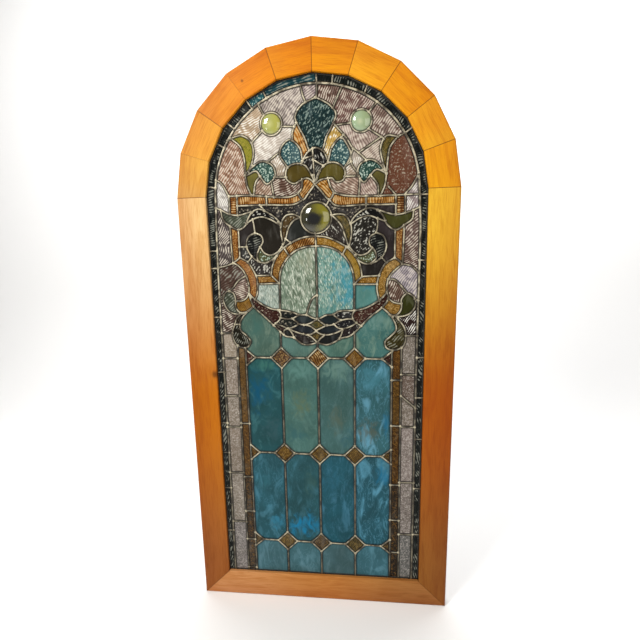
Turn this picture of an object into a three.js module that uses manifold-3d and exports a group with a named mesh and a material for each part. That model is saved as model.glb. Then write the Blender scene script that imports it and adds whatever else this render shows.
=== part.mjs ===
// Arched stained glass window: thirteen pine blocks round one leaded panel of coloured glass.
// Millimetres, +Z up, +X to the right as seen from the front, and the front looks along -Y.
// The origin is the middle of the bottom rail's underside.
import * as THREE from "three";
import { mergeVertices } from "three/addons/utils/BufferGeometryUtils.js";
import Module from "manifold-3d";

const wasm = await Module();
wasm.setup();

// Driving dimensions of the frame.
const OPENING = 323; // half the width between the stiles
const RAIL = 89; // face width of every block
const SPRING = 1348; // height at which the arch starts
const ARCH_BLOCKS = 10; // straight blocks that make up the half circle
const FRONT = -19;
const BACK = 19;
const OUTER_ARRIS = 6; // radius of the worn outer front edge
const INNER_ARRIS = 3;
const BACK_CHAMFER = 2;
const GROOVE = 10; // depth of the groove that holds the panel
const GROOVE_CLEARANCE = 0.5; // between a came and either wall of the groove

// Driving dimensions of the leaded panel.
const CAME = 6; // width of a came's face
const BORDER_CAME = 8;
const CAME_FRONT = -7;
const CAME_BACK = 0;
const GLASS_FRONT = -5;
const GLASS_BACK = -2;
const PANEL_EDGE = 7; // how far the panel reaches into the groove
const PUTTY_WIDTH = 5;
const PUTTY_FRONT = -9.5;
const GAP = 0.3; // left between neighbours
const BEND_TOLERANCE = 2.6; // how far a straight stretch may leave its curve
const SNAP = 8; // a lead's end is soldered to the nearest lead within this
const SOLDER_AREA = 60; // a hole smaller than this, in square mm, is filled with solder

// The border came: two nearly straight sides and an arc.
const ARC_X = 1.5;
const ARC_Z = 1346;
const ARC_RADIUS = 297;
const ARC_STEPS = 18;
const BORDER_LEFT = [[-303, 82], [-301, 700], [-302, 1100], [-299, 1250]];
const BORDER_RIGHT = [[303.5, 1250], [303.5, 1150], [301, 900], [300, 82]];
const SPUR_ANGLES = [174.5, 152, 140.5, 126, 116.4, 88, 79.7, 61.6, 31];
const SPURS_LEFT = [240, 400, 528, 633, 806, 985, 1137, 1190];
const SPURS_RIGHT = [255, 420, 590, 727, 855, 1148, 1333];

// The grid of tall panes: lead columns, rows of diamonds, and the strips beside them.
const COLUMNS = [-226, -114, 0.5, 114, 228];
const COLUMN_TOPS = [937, 903, 934];
const ROWS = [208.5, 530, 852.5];
const ROW_SLOPE = -0.011; // every row drops a little to the right
const DIAMOND = 33; // half a diamond's diagonal
const HALF_DIAMOND = [25, 29]; // half height and width of the half diamonds
const STRIPS = [
  [-302, -255, [275, 457, 619, 727, 852]],
  [-255, -227, [100, 210, 316, 443, 632]],
  [228, 256, [185, 304, 430, 633, 783]],
  [256, 300, [253, 440, 630, 801]],
  [268, 302, [923]],
];

// Rings round the jewels: name, centre, radius of the came's middle, height of the dome.
const RINGS = [
  ["jewel_centre", 3.5, 1278.5, 45.5, 15],
  ["jewel_left", -120, 1543, 31, 10],
  ["jewel_right", 135, 1538, 30, 10],
];

const JEWEL_SIDES = 16;
const RING_SIDES = 16;

// Every other lead, as [x, z] points that a smooth curve passes through.
const LEADS = [
  ["strip inner left", [[-226, 82], [-227, 500], [-228, 887]]],
  ["strip inner right", [[228, 82], [228, 500], [227, 880]]],
  ["strip outer left", [[-255, 82], [-255, 500], [-254, 893]]],
  ["strip outer right", [[257, 82], [256, 500], [256, 886]]],
  ["swag top left", [[-208, 1058], [-198, 1047], [-175, 1028], [-158, 1018], [-138, 1009],
      [-112, 1005], [-85, 1001], [-68, 996], [-52, 990], [-32, 990], [-12, 980], [1, 977]]],
  ["swag bottom left", [[-208, 1058], [-204, 1040], [-195, 1018], [-165, 988], [-138, 962],
      [-112, 936], [-97, 923], [-72, 919], [-62, 910], [-48, 899], [-30, 896], [0, 903]]],
  ["swag top right", [[211, 1056], [200, 1042], [188, 1032], [165, 1017], [140, 1007], [113, 1002],
      [88, 1002], [66, 999], [50, 990], [28, 988], [10, 979], [1, 977]]],
  ["swag bottom right", [[211, 1056], [215, 1038], [197, 1010], [165, 985], [137, 957], [117, 936],
      [98, 922], [72, 916], [54, 905], [28, 896], [0, 903]]],
  ["swag knot left", [[-118, 1006], [-111, 990], [-116, 975], [-133, 960]]],
  ["swag knot right", [[116, 1002], [108, 988], [111, 973], [120, 963], [134, 955]]],
  ["swag leaf 1 left", [[-110, 981], [-92, 978], [-76, 979], [-54, 990]]],
  ["swag leaf 2 left", [[-76, 979], [-58, 962], [-72, 953], [-90, 948], [-108, 956], [-126, 961]]],
  ["swag leaf 3 left", [[-58, 962], [-40, 959], [-20, 964], [1, 977]]],
  ["swag leaf 4 left", [[-90, 948], [-66, 937], [-42, 930], [-20, 929], [-2, 940]]],
  ["swag rib left", [[-40, 959], [-22, 955], [-2, 940]]],
  ["swag leaf 5 left", [[-42, 930], [-20, 922], [0, 903]]],
  ["swag tail left", [[-90, 948], [-78, 934], [-72, 919]]],
  ["swag tip left", [[-90, 948], [-103, 941], [-103, 929]]],
  ["swag leaf 1 right", [[50, 990], [60, 981], [74, 973], [92, 976], [109, 976]]],
  ["swag leaf 2 right", [[1, 977], [14, 966], [30, 957], [52, 960], [74, 973]]],
  ["swag leaf 3 right", [[119, 963], [103, 953], [80, 946], [66, 948], [52, 960]]],
  ["swag leaf 4 right", [[30, 957], [14, 949], [-2, 940], [8, 931], [30, 927], [55, 932], [78, 943]]],
  ["swag leaf 5 right", [[0, 903], [10, 916], [22, 925]]],
  ["swag tail right", [[79, 945], [75, 930], [69, 917]]],
  ["comma low left", [[-195, 1018], [-222, 996], [-240, 970], [-241, 944], [-222, 925], [-210, 906],
      [-222, 888], [-245, 889], [-263, 909], [-267, 938], [-258, 962], [-251, 981], [-240, 991]]],
  ["comma low left cross", [[-258, 962], [-242, 961]]],
  ["comma high left", [[-224, 996], [-248, 994], [-272, 1002], [-287, 1024], [-290, 1048],
      [-276, 1066], [-258, 1061], [-251, 1037], [-253, 1018], [-240, 1000], [-220, 1000],
      [-195, 1018]]],
  ["comma low right", [[197, 1010], [219, 989], [236, 962], [239, 940], [222, 921], [206, 904],
      [212, 885], [238, 879], [261, 892], [268, 918], [262, 950], [236, 984]]],
  ["comma high right", [[219, 989], [236, 985], [250, 998], [254, 1013], [253, 1034], [270, 1052],
      [290, 1040], [294, 1013], [278, 990], [250, 982], [236, 985]]],
  ["comma link left", [[-289, 1054], [-302, 1046]]],
  ["comma link right", [[293, 1034], [303, 1030]]],
  ["amber foot top left", [[-251, 1036], [-232, 1036], [-217, 1044], [-208, 1058]]],
  ["amber foot top right", [[215, 1038], [230, 1026], [252, 1021]]],
  ["shoulder outer left", [[-253, 1152], [-240, 1146], [-224, 1130], [-212, 1104], [-207, 1078],
      [-208, 1058]]],
  ["shoulder inner left", [[-231, 1168], [-207, 1154], [-192, 1131], [-182, 1108], [-180, 1078],
      [-183, 1054], [-189, 1040]]],
  ["shoulder cap left", [[-253, 1152], [-241, 1160], [-231, 1168]]],
  ["shoulder outer right", [[255, 1138], [235, 1122], [217, 1102], [210, 1078], [211, 1056]]],
  ["shoulder inner right", [[232, 1157], [208, 1143], [193, 1121], [184, 1096], [181, 1066],
      [188, 1032]]],
  ["shoulder cap right", [[232, 1157], [244, 1149], [255, 1138]]],
  ["wing lead left", [[-215, 1113], [-240, 1098], [-258, 1076], [-270, 1066]]],
  ["wing lead right", [[212, 1095], [232, 1093], [253, 1073], [269, 1053]]],
  ["strip head left", [[-301, 934], [-267, 934]]],
  ["strip repair right", [[256, 733], [300, 694]]],
  ["mauve foot left", [[-302, 1140], [-280, 1143], [-253, 1152]]],
  ["mauve foot right", [[255, 1138], [280, 1132], [303, 1110]]],
  ["upper strip outer left", [[-253, 1152], [-256, 1200], [-256, 1263]]],
  ["upper strip inner left", [[-231, 1168], [-231, 1251]]],
  ["upper strip outer right", [[255, 1138], [257, 1200], [258, 1249]]],
  ["upper strip inner right", [[232, 1157], [232, 1237]]],
  ["top strip outer left", [[-255, 1349], [-255, 1297]]],
  ["top strip inner left", [[-231, 1349], [-231, 1293]]],
  ["top strip outer right", [[260, 1334], [260, 1284]]],
  ["top strip inner right", [[233, 1334], [233, 1280]]],
  ["smile top left", [[-299, 1317], [-283, 1311], [-256, 1297], [-231, 1293], [-210, 1297],
      [-189, 1302]]],
  ["smile bottom left", [[-283, 1311], [-277, 1283], [-257, 1263], [-230, 1251], [-210, 1261],
      [-200, 1283], [-187, 1301], [-166, 1309], [-143, 1300], [-118, 1283], [-101, 1264]]],
  ["neck lower left", [[-205, 1268], [-186, 1280], [-158, 1286], [-132, 1278], [-102, 1259]]],
  ["smile top right", [[302, 1299], [283, 1291], [258, 1283], [232, 1280], [205, 1287], [182, 1295]]],
  ["smile bottom right", [[283, 1291], [280, 1267], [259, 1250], [233, 1237], [209, 1253], [197, 1278],
      [180, 1295], [158, 1301], [135, 1293], [113, 1275], [104, 1259]]],
  ["neck lower right", [[202, 1263], [181, 1271], [157, 1279], [130, 1273], [105, 1257]]],
  ["neck drop left", [[-186, 1280], [-183, 1260], [-181, 1240]]],
  ["neck drop right", [[182, 1271], [182, 1252], [178, 1231]]],
  ["bar spur left", [[-163, 1320], [-155, 1312], [-150, 1304]]],
  ["tadpole outer left", [[-181, 1240], [-201, 1229], [-209, 1204], [-200, 1179], [-181, 1159],
      [-155, 1150], [-132, 1159], [-118, 1171]]],
  ["tadpole inner left", [[-181, 1240], [-163, 1232], [-158, 1214], [-171, 1192], [-178, 1172],
      [-175, 1155]]],
  ["crescent upper left", [[-167, 1198], [-156, 1181], [-136, 1173], [-113, 1183], [-97, 1205]]],
  ["tadpole shelf left", [[-231, 1200], [-209, 1200]]],
  ["tadpole foot left", [[-193, 1171], [-207, 1154]]],
  ["tadpole outer right", [[178, 1231], [198, 1221], [208, 1194], [199, 1165], [174, 1145],
      [148, 1141], [128, 1151], [116, 1165]]],
  ["tadpole inner right", [[178, 1231], [160, 1218], [159, 1197], [175, 1177], [178, 1157],
      [163, 1143]]],
  ["crescent upper right", [[167, 1187], [151, 1171], [130, 1167], [112, 1178], [99, 1194]]],
  ["tadpole foot right", [[194, 1159], [208, 1143]]],
  ["dome outer left", [[-137, 1113], [-132, 1140], [-117, 1171], [-95, 1194], [-64, 1213], [-30, 1224],
      [1, 1226]]],
  ["dome outer right", [[137, 1104], [132, 1135], [117, 1165], [94, 1190], [64, 1209], [32, 1222],
      [1, 1226]]],
  ["dome inner left", [[-113, 1005], [-112, 1050], [-112, 1088], [-106, 1128], [-88, 1160],
      [-60, 1184], [-28, 1195], [2, 1197]]],
  ["dome inner right", [[114, 1002], [114, 1040], [114, 1081], [109, 1120], [92, 1156], [64, 1182],
      [32, 1194], [2, 1197]]],
  ["centre lead", [[1, 977], [2, 1090], [1, 1232]]],
  ["dome joint left", [[-95, 1194], [-80, 1170]]],
  ["dome joint right", [[92, 1192], [79, 1170]]],
  ["dome foot left", [[-137, 1113], [-113, 1089]]],
  ["dome foot right", [[137, 1104], [114, 1081]]],
  ["dome ledge top left", [[-183, 1113], [-137, 1113]]],
  ["dome ledge bottom left", [[-180, 1087], [-112, 1088]]],
  ["dome ledge top right", [[186, 1106], [137, 1104]]],
  ["dome ledge bottom right", [[182, 1080], [114, 1081]]],
  ["dome repair", [[-1, 1050], [-14, 1038], [-25, 1014], [-32, 990]]],
  ["jewel leaf outer left", [[-97, 1203], [-102, 1234], [-101, 1264], [-88, 1286], [-66, 1291],
      [-43, 1281]]],
  ["jewel leaf inner left", [[-97, 1203], [-88, 1222], [-80, 1250], [-64, 1272], [-43, 1281]]],
  ["jewel leaf outer right", [[99, 1190], [107, 1230], [104, 1259], [88, 1283], [68, 1287],
      [49, 1284]]],
  ["jewel leaf inner right", [[99, 1190], [87, 1226], [78, 1252], [62, 1272], [49, 1284]]],
  ["jewel spur left", [[-88, 1220], [-74, 1209]]],
  ["bar top left", [[-255, 1349], [-190, 1349], [-130, 1343], [-90, 1340], [-65, 1342], [-47, 1349]]],
  ["bar bottom left", [[-231, 1320], [-142, 1320], [-60, 1319], [-33, 1331]]],
  ["bar top right", [[302, 1334], [234, 1334], [130, 1335], [85, 1339], [56, 1347]]],
  ["bar bottom right", [[43, 1329], [60, 1312], [148, 1311], [190, 1309], [233, 1309]]],
  ["bar joint left", [[-142, 1345], [-142, 1320]]],
  ["bar joint right", [[149, 1335], [148, 1301]]],
  ["tail upper left", [[-34, 1388], [-22, 1391], [-10, 1386], [2, 1373]]],
  ["tail lower left", [[2, 1373], [-15, 1351], [-33, 1331], [-47, 1349], [-38, 1362], [-34, 1388]]],
  ["tail upper right", [[2, 1373], [20, 1385], [40, 1388]]],
  ["tail lower right", [[2, 1373], [18, 1355], [43, 1329], [56, 1347], [47, 1364], [40, 1388]]],
  ["tail to jewel", [[43, 1329], [34, 1313]]],
  ["lily left", [[9, 1606], [-32, 1588], [-51, 1558], [-40, 1529], [-24, 1499], [-15, 1470]]],
  ["lily right", [[9, 1606], [45, 1586], [65, 1561], [53, 1528], [37, 1500], [28, 1470]]],
  ["fan arc", [[-33, 1438], [-19, 1460], [5, 1473], [28, 1462], [41, 1434]]],
  ["fan stem", [[-3, 1472], [-1, 1420], [2, 1373]]],
  ["fan rib left", [[-30, 1445], [-2, 1452]]],
  ["fan rib right", [[-1, 1441], [24, 1427]]],
  ["fan rib low", [[14, 1410], [2, 1373]]],
  ["petal left", [[-50, 1541], [-60, 1515], [-60, 1497]]],
  ["bud left", [[-33, 1438], [-40, 1474], [-68, 1498], [-92, 1480], [-98, 1458], [-80, 1427]]],
  ["bud right", [[41, 1434], [53, 1472], [79, 1496], [98, 1472], [106, 1448], [86, 1412]]],
  ["petal right", [[85, 1503], [79, 1496]]],
  ["long stem right", [[57, 1538], [74, 1517], [95, 1494], [110, 1468], [128, 1453], [149, 1433]]],
  ["stem branch right", [[128, 1454], [188, 1488]]],
  ["c curve right", [[112, 1464], [106, 1448], [108, 1424], [124, 1401]]],
  ["bud spur right", [[91, 1422], [107, 1430]]],
  ["scroll link right", [[91, 1390], [126, 1390]]],
  ["scroll link left", [[-115, 1396], [-83, 1396]]],
  ["stem left", [[-135, 1440], [-112, 1457], [-98, 1466]]],
  ["olive scroll left", [[2, 1373], [-7, 1398], [-26, 1426], [-54, 1432], [-78, 1420], [-81, 1392],
      [-60, 1377], [-34, 1388]]],
  ["olive scroll right", [[2, 1373], [14, 1406], [38, 1429], [66, 1429], [88, 1410], [84, 1382],
      [63, 1377], [52, 1388], [40, 1388]]],
  ["scroll rest left", [[-33, 1438], [-36, 1431]]],
  ["teal scroll left", [[-202, 1406], [-178, 1430], [-150, 1443], [-120, 1429], [-114, 1400],
      [-138, 1379], [-156, 1398], [-169, 1416], [-202, 1404]]],
  ["teal scroll right", [[206, 1394], [186, 1421], [160, 1434], [132, 1422], [125, 1398], [143, 1373],
      [160, 1390], [178, 1406], [206, 1394]]],
  ["leaf left inner", [[-158, 1402], [-172, 1385], [-180, 1349]]],
  ["leaf left outer", [[-202, 1406], [-198, 1375], [-187, 1349]]],
  ["leaf right inner", [[161, 1392], [181, 1366], [184, 1335]]],
  ["leaf right outer", [[206, 1394], [202, 1362], [190, 1335]]],
  ["drop left", [[-125, 1384], [-120, 1342]]],
  ["drop right", [[130, 1382], [128, 1335]]],
  ["crescent outer left", [[-241, 1510], [-208, 1516], [-182, 1499], [-175, 1464], [-186, 1428],
      [-202, 1406]]],
  ["crescent inner left", [[-241, 1510], [-214, 1487], [-203, 1452], [-202, 1406]]],
  ["crescent tip left", [[-241, 1510], [-254, 1506]]],
  ["crescent outer right", [[236, 1491], [206, 1495], [189, 1466], [194, 1430], [206, 1394]]],
  ["crescent inner right", [[236, 1491], [216, 1465], [209, 1430], [206, 1394]]],
  ["crescent tip right", [[236, 1491], [260, 1500]]],
  ["cheek left", [[-291, 1396], [-276, 1386], [-255, 1349]]],
  ["cheek right", [[256, 1334], [276, 1355], [298, 1392]]],
  ["cheek repair right", [[213, 1357], [233, 1334]]],
  ["top spoke 1", [[-34, 1644], [-28, 1615], [-19, 1593]]],
  ["top spoke 2", [[12, 1646], [12, 1620], [9, 1606]]],
  ["top spoke 3", [[84, 1635], [57, 1577]]],
  ["top spoke 4", [[179, 1585], [157, 1560]]],
  ["top spoke 5", [[-156, 1598], [-141, 1568]]],
  ["jewel link left", [[-90, 1535], [-50, 1531]]],
  ["jewel link right", [[106, 1534], [64, 1531]]],
  ["jewel tail left", [[-146, 1526], [-180, 1495]]],
  ["jewel tail right", [[157, 1514], [195, 1490]]],
];

// The larger pieces of glass, each known by a point inside it: name, x, z, glass.
const PANE_COLUMNS = [["a", -170], ["b", -57], ["c", 57], ["d", 171]];
const PANE_ROWS = [["bottom", 130], ["lower", 370], ["upper", 690], ["crown", 884]];
const STRIP_LEVELS = [170, 350, 540, 668, 775, 880];
const PANES = [
  ["dome_left", -50, 1100, "sea"],
  ["dome_right", 57, 1100, "sea"],
  ["side_left", -145, 1050, "pale_blue"],
  ["side_right", 148, 1045, "blue"],
  ["lily", 7, 1540, "teal"],
  ["bud_left", -65, 1460, "bud"],
  ["bud_right", 72, 1460, "bud"],
  ["cheek_left", -245, 1430, "pink"],
  ["cheek_right", 250, 1420, "brown"],
  ["field_white", -110, 1495, "white"],
  ["field_lilac", -90, 1600, "lilac"],
  ["field_beige", -190, 1550, "beige"],
  ["field_mauve_top", 110, 1600, "mauve"],
  ["field_mauve_right", 205, 1545, "mauve"],
];

const COLOURS = {
  pine: 0xe8a24a,
  lead: 0x8f8a7c,
  putty: 0x14120f,
  blue: 0x3c7588,
  sea: 0x7fa59b,
  pale_blue: 0xb4c4bf,
  teal: 0x23474b,
  bud: 0x4b7883,
  pink: 0xb78b78,
  brown: 0x6c4032,
  white: 0xd8ccc0,
  lilac: 0xb0a09d,
  beige: 0xc7ad90,
  mauve: 0x8d6f6a,
  lavender: 0xb3a4a2,
  jewel_centre: 0x5d5a14,
  jewel_left: 0xb5b95a,
  jewel_right: 0xb5d0a2,
};

const window_ = new THREE.Group();

function addMesh(name, geometry, colour) {
  const glass = colour !== "pine" && colour !== "lead" && colour !== "putty";
  const material = new THREE.MeshStandardMaterial({
    color: COLOURS[colour],
    roughness: glass ? 0.25 : 0.6,
    metalness: colour === "lead" ? 0.8 : 0,
  });
  const mesh = new THREE.Mesh(geometry, material);
  mesh.name = name;
  window_.add(mesh);
}

// Solids and geometries.

function solidOf(geometry) {
  geometry.deleteAttribute("normal");
  geometry.deleteAttribute("uv");
  const merged = mergeVertices(geometry, 1e-4);
  const mesh = new wasm.Mesh({
    numProp: 3,
    vertProperties: merged.attributes.position.array,
    triVerts: merged.index.array,
  });
  return new wasm.Manifold(mesh);
}

function geometryOf(solid) {
  const mesh = solid.getMesh();
  const geometry = new THREE.BufferGeometry();
  geometry.setAttribute("position", new THREE.BufferAttribute(mesh.vertProperties, 3));
  geometry.setIndex(new THREE.BufferAttribute(mesh.triVerts, 1));
  geometry.computeVertexNormals();
  return geometry;
}

// A flat plate with this [x, z] outline between two depths, with an optional hole.
function plate(outline, front, back, hole) {
  const shape = new THREE.Shape(outline.map(([x, z]) => new THREE.Vector2(x, z)));
  if (hole) shape.holes.push(new THREE.Path(hole.map(([x, z]) => new THREE.Vector2(x, z))));
  const geometry = new THREE.ExtrudeGeometry(shape, { depth: back - front, bevelEnabled: false });
  geometry.rotateX(Math.PI / 2);
  geometry.translate(0, back, 0);
  return geometry;
}

// Adds solids in pairs, which keeps each join small.
function join(solids) {
  let rest = solids;
  while (rest.length > 1) {
    const next = [];
    for (let i = 0; i < rest.length; i += 2) {
      next.push(i + 1 < rest.length ? rest[i].add(rest[i + 1]) : rest[i]);
    }
    rest = next;
  }
  return rest[0];
}

// The frame.

// The corners of a line that runs round the frame, this far out from the opening's edge.
function frameLine(out) {
  const half = OPENING + out;
  const corners = [[-half, RAIL - out], [half, RAIL - out]];
  for (let i = 0; i <= ARCH_BLOCKS; i += 1) {
    const angle = (Math.PI * i) / ARCH_BLOCKS;
    corners.push([half * Math.cos(angle), SPRING + half * Math.sin(angle)]);
  }
  return corners;
}

// A quarter circle from one angle to the next, as [out, y] points.
function arris(out, y, radius, from) {
  const steps = 3;
  const points = [];
  for (let i = 0; i <= steps; i += 1) {
    const angle = from + (Math.PI / 2) * (i / steps);
    points.push([out + radius * Math.cos(angle), y + radius * Math.sin(angle)]);
  }
  return points;
}

// Section of a block: out runs from the opening's edge to the outer edge.
function blockSection() {
  const grooveFront = CAME_FRONT - GROOVE_CLEARANCE;
  const grooveBack = CAME_BACK + GROOVE_CLEARANCE;
  return [
    ...arris(INNER_ARRIS, FRONT + INNER_ARRIS, INNER_ARRIS, Math.PI),
    ...arris(RAIL - OUTER_ARRIS, FRONT + OUTER_ARRIS, OUTER_ARRIS, -Math.PI / 2),
    [RAIL, BACK - BACK_CHAMFER],
    [RAIL - BACK_CHAMFER, BACK],
    [BACK_CHAMFER, BACK],
    [0, BACK - BACK_CHAMFER],
    [0, grooveBack],
    [GROOVE, grooveBack],
    [GROOVE, grooveFront],
    [0, grooveFront],
  ];
}

// The section is extruded by one unit, and each end is then laid on its joint.
function block(corner) {
  const shape = new THREE.Shape(blockSection().map(([out, y]) => new THREE.Vector2(out, y)));
  const geometry = new THREE.ExtrudeGeometry(shape, { depth: 1, bevelEnabled: false });
  const place = geometry.attributes.position;
  const lines = new Map();
  for (let i = 0; i < place.count; i += 1) {
    const out = place.getX(i);
    if (!lines.has(out)) lines.set(out, frameLine(out));
    const line = lines.get(out);
    const start = line[corner];
    const end = line[(corner + 1) % line.length];
    const length = Math.hypot(end[0] - start[0], end[1] - start[1]);
    const trim = GAP / 2 / length;
    const along = place.getZ(i) < 0.5 ? trim : 1 - trim;
    const x = start[0] + (end[0] - start[0]) * along;
    const z = start[1] + (end[1] - start[1]) * along;
    place.setXYZ(i, x, place.getY(i), z);
  }
  return geometryOf(solidOf(geometry));
}

function blockName(corner) {
  if (corner === 0) return "bottom_rail";
  if (corner === 1) return "stile_right";
  if (corner === ARCH_BLOCKS + 2) return "stile_left";
  return `arch_block_${corner - 1}`;
}

function addFrame() {
  for (let corner = 0; corner < ARCH_BLOCKS + 3; corner += 1) {
    addMesh(blockName(corner), block(corner), "pine");
  }
}

// The leads.

function smooth(points) {
  if (points.length === 2) return points;
  const vectors = points.map(([x, z]) => new THREE.Vector3(x, 0, z));
  const curve = new THREE.CatmullRomCurve3(vectors, false, "centripetal");
  return curve.getPoints(8 * (points.length - 1)).map((p) => [p.x, p.z]);
}

function nearestOnSegment(p, a, b) {
  const dx = b[0] - a[0];
  const dz = b[1] - a[1];
  const t = ((p[0] - a[0]) * dx + (p[1] - a[1]) * dz) / Math.max(1e-9, dx * dx + dz * dz);
  const clamped = Math.min(1, Math.max(0, t));
  return [a[0] + dx * clamped, a[1] + dz * clamped];
}

function distance(a, b) {
  return Math.hypot(a[0] - b[0], a[1] - b[1]);
}

// Moves a lead's end onto the nearest other lead.
function snapEnd(lines, own, index) {
  const end = lines[own].points[index];
  let best = SNAP;
  let target = end;
  lines.forEach((line, i) => {
    if (i === own) return;
    for (let k = 0; k + 1 < line.points.length; k += 1) {
      const near = nearestOnSegment(end, line.points[k], line.points[k + 1]);
      if (distance(near, end) < best) {
        best = distance(near, end);
        target = near;
      }
    }
  });
  return target;
}

// Drops the points that a straight stretch passes within the tolerance of.
function thin(points, tolerance) {
  const last = points.length - 1;
  let worst = 0;
  let at = 0;
  for (let i = 1; i < last; i += 1) {
    const off = distance(points[i], nearestOnSegment(points[i], points[0], points[last]));
    if (off > worst) {
      worst = off;
      at = i;
    }
  }
  if (worst <= tolerance) return [points[0], points[last]];
  const left = thin(points.slice(0, at + 1), tolerance);
  return [...left, ...thin(points.slice(at), tolerance).slice(1)];
}

function arc(x, z, radius, from, to, steps) {
  const points = [];
  for (let i = 0; i <= steps; i += 1) {
    const angle = from + ((to - from) * i) / steps;
    points.push([x + radius * Math.cos(angle), z + radius * Math.sin(angle)]);
  }
  return points;
}

function gridLines() {
  const found = [];
  const add = (...points) => found.push({ points, width: CAME });
  const level = (row, x) => row + ROW_SLOPE * x;
  const [halfHeight, halfWidth] = HALF_DIAMOND;
  for (const row of ROWS) {
    const last = COLUMNS.length - 1;
    COLUMNS.forEach((x, k) => {
      const z = level(row, x);
      const left = k === 0 ? 0 : k === last ? halfWidth : DIAMOND;
      const right = k === last ? 0 : k === 0 ? halfWidth : DIAMOND;
      const tall = k === 0 || k === last ? halfHeight : DIAMOND;
      if (left) add([x, z + tall], [x - left, z]);
      if (left) add([x - left, z], [x, z - tall]);
      if (right) add([x, z + tall], [x + right, z]);
      if (right) add([x + right, z], [x, z - tall]);
      if (k < last) {
        const next = COLUMNS[k + 1] - (k + 1 === last ? halfWidth : DIAMOND);
        add([x + right, z], [next, level(row, next)]);
      }
    });
  }
  COLUMNS.slice(1, -1).forEach((x, k) => {
    const stops = ROWS.flatMap((row) => [level(row, x) - DIAMOND, level(row, x) + DIAMOND]);
    const ends = [RAIL - PANEL_EDGE, ...stops, COLUMN_TOPS[k]];
    for (let i = 0; i < ends.length; i += 2) add([x, ends[i]], [x, ends[i + 1]]);
  });
  for (const [from, to, levels] of STRIPS) {
    for (const z of levels) add([from, z], [to, z]);
  }
  return found;
}

// How far a side of the many-sided arch lies at this angle, as a part of its corners' radius.
function facetRadius(angle) {
  const step = Math.PI / ARCH_BLOCKS;
  return Math.cos(step / 2) / Math.cos((angle % step) - step / 2);
}

function borderLines() {
  const round = arc(ARC_X, ARC_Z, ARC_RADIUS, Math.PI, 0, ARC_STEPS);
  const found = [{ points: [...BORDER_LEFT, ...round, ...BORDER_RIGHT], width: BORDER_CAME }];
  const reach = OPENING + PANEL_EDGE;
  for (const z of SPURS_LEFT) found.push({ points: [[-reach, z], [-301, z]], width: CAME });
  for (const z of SPURS_RIGHT) found.push({ points: [[302, z], [reach, z]], width: CAME });
  for (const degrees of SPUR_ANGLES) {
    const angle = (degrees * Math.PI) / 180;
    const far = reach * facetRadius(angle);
    const out = [far * Math.cos(angle), SPRING + far * Math.sin(angle)];
    const inner = [ARC_X + ARC_RADIUS * Math.cos(angle), ARC_Z + ARC_RADIUS * Math.sin(angle)];
    found.push({ points: [inner, out], width: CAME });
  }
  return found;
}

function allLines() {
  const drawn = LEADS.map(([, points]) => ({ points: smooth(points), width: CAME }));
  const rings = RINGS.map(([, x, z, radius]) => ({
    points: arc(x, z, radius, 0, 2 * Math.PI, RING_SIDES),
    width: CAME,
    keep: true,
  }));
  const lines = [...borderLines(), ...gridLines(), ...rings, ...drawn];
  const firstDrawn = lines.length - drawn.length;
  for (let i = firstDrawn; i < lines.length; i += 1) {
    const points = lines[i].points;
    const start = snapEnd(lines, i, 0);
    const end = snapEnd(lines, i, points.length - 1);
    const clear = (p) => distance(p, start) > CAME / 2 && distance(p, end) > CAME / 2;
    lines[i] = { points: [start, ...points.slice(1, -1).filter(clear), end], width: CAME };
  }
  return lines.map(({ points, width, keep }) => {
    return { points: keep ? points : thin(points, BEND_TOLERANCE), width };
  });
}

// The sideways step at each point of a line, long enough that both edges keep the width.
function sideSteps(points) {
  const sides = [];
  for (let i = 0; i + 1 < points.length; i += 1) {
    const length = distance(points[i], points[i + 1]);
    const dx = (points[i + 1][0] - points[i][0]) / length;
    const dz = (points[i + 1][1] - points[i][1]) / length;
    sides.push([-dz, dx]);
  }
  return points.map((_, i) => {
    const a = sides[Math.max(0, i - 1)];
    const b = sides[Math.min(sides.length - 1, i)];
    const spread = 1 + a[0] * b[0] + a[1] * b[1];
    return [(a[0] + b[0]) / spread, (a[1] + b[1]) / spread];
  });
}

function turnAt(points, i) {
  const a = Math.atan2(points[i][1] - points[i - 1][1], points[i][0] - points[i - 1][0]);
  const b = Math.atan2(points[i + 1][1] - points[i][1], points[i + 1][0] - points[i][0]);
  return Math.abs(Math.atan2(Math.sin(b - a), Math.cos(b - a)));
}

// Straps of one line, cut before it can curl back onto itself.
function straps(line, width, front, back) {
  const { points } = line;
  const sides = sideSteps(points);
  const half = width / 2;
  const found = [];
  let start = 0;
  let turned = 0;
  for (let i = 1; i < points.length; i += 1) {
    const last = i === points.length - 1;
    if (!last) turned += turnAt(points, i);
    if (last || turned > 2) {
      const left = [];
      const right = [];
      for (let k = start; k <= i; k += 1) {
        const [sx, sz] = sides[k];
        left.push([points[k][0] + sx * half, points[k][1] + sz * half]);
        right.unshift([points[k][0] - sx * half, points[k][1] - sz * half]);
      }
      found.push(solidOf(plate([...left, ...right], front, back)));
      start = i;
      turned = 0;
    }
  }
  return found;
}

// The lattice of cames, with every hole too small for glass filled with solder.
function leadLattice(lines) {
  const cames = lines.flatMap((line) => straps(line, line.width, CAME_FRONT, CAME_BACK));
  const lattice = join(cames);
  const field = solidOf(plate(frameLine(-PUTTY_WIDTH), CAME_FRONT, CAME_BACK));
  const limit = SOLDER_AREA * (CAME_BACK - CAME_FRONT);
  const solder = field.subtract(lattice).decompose().filter((hole) => hole.volume() < limit);
  return join([lattice, ...solder]).asOriginal().simplify(0.05);
}

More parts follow.
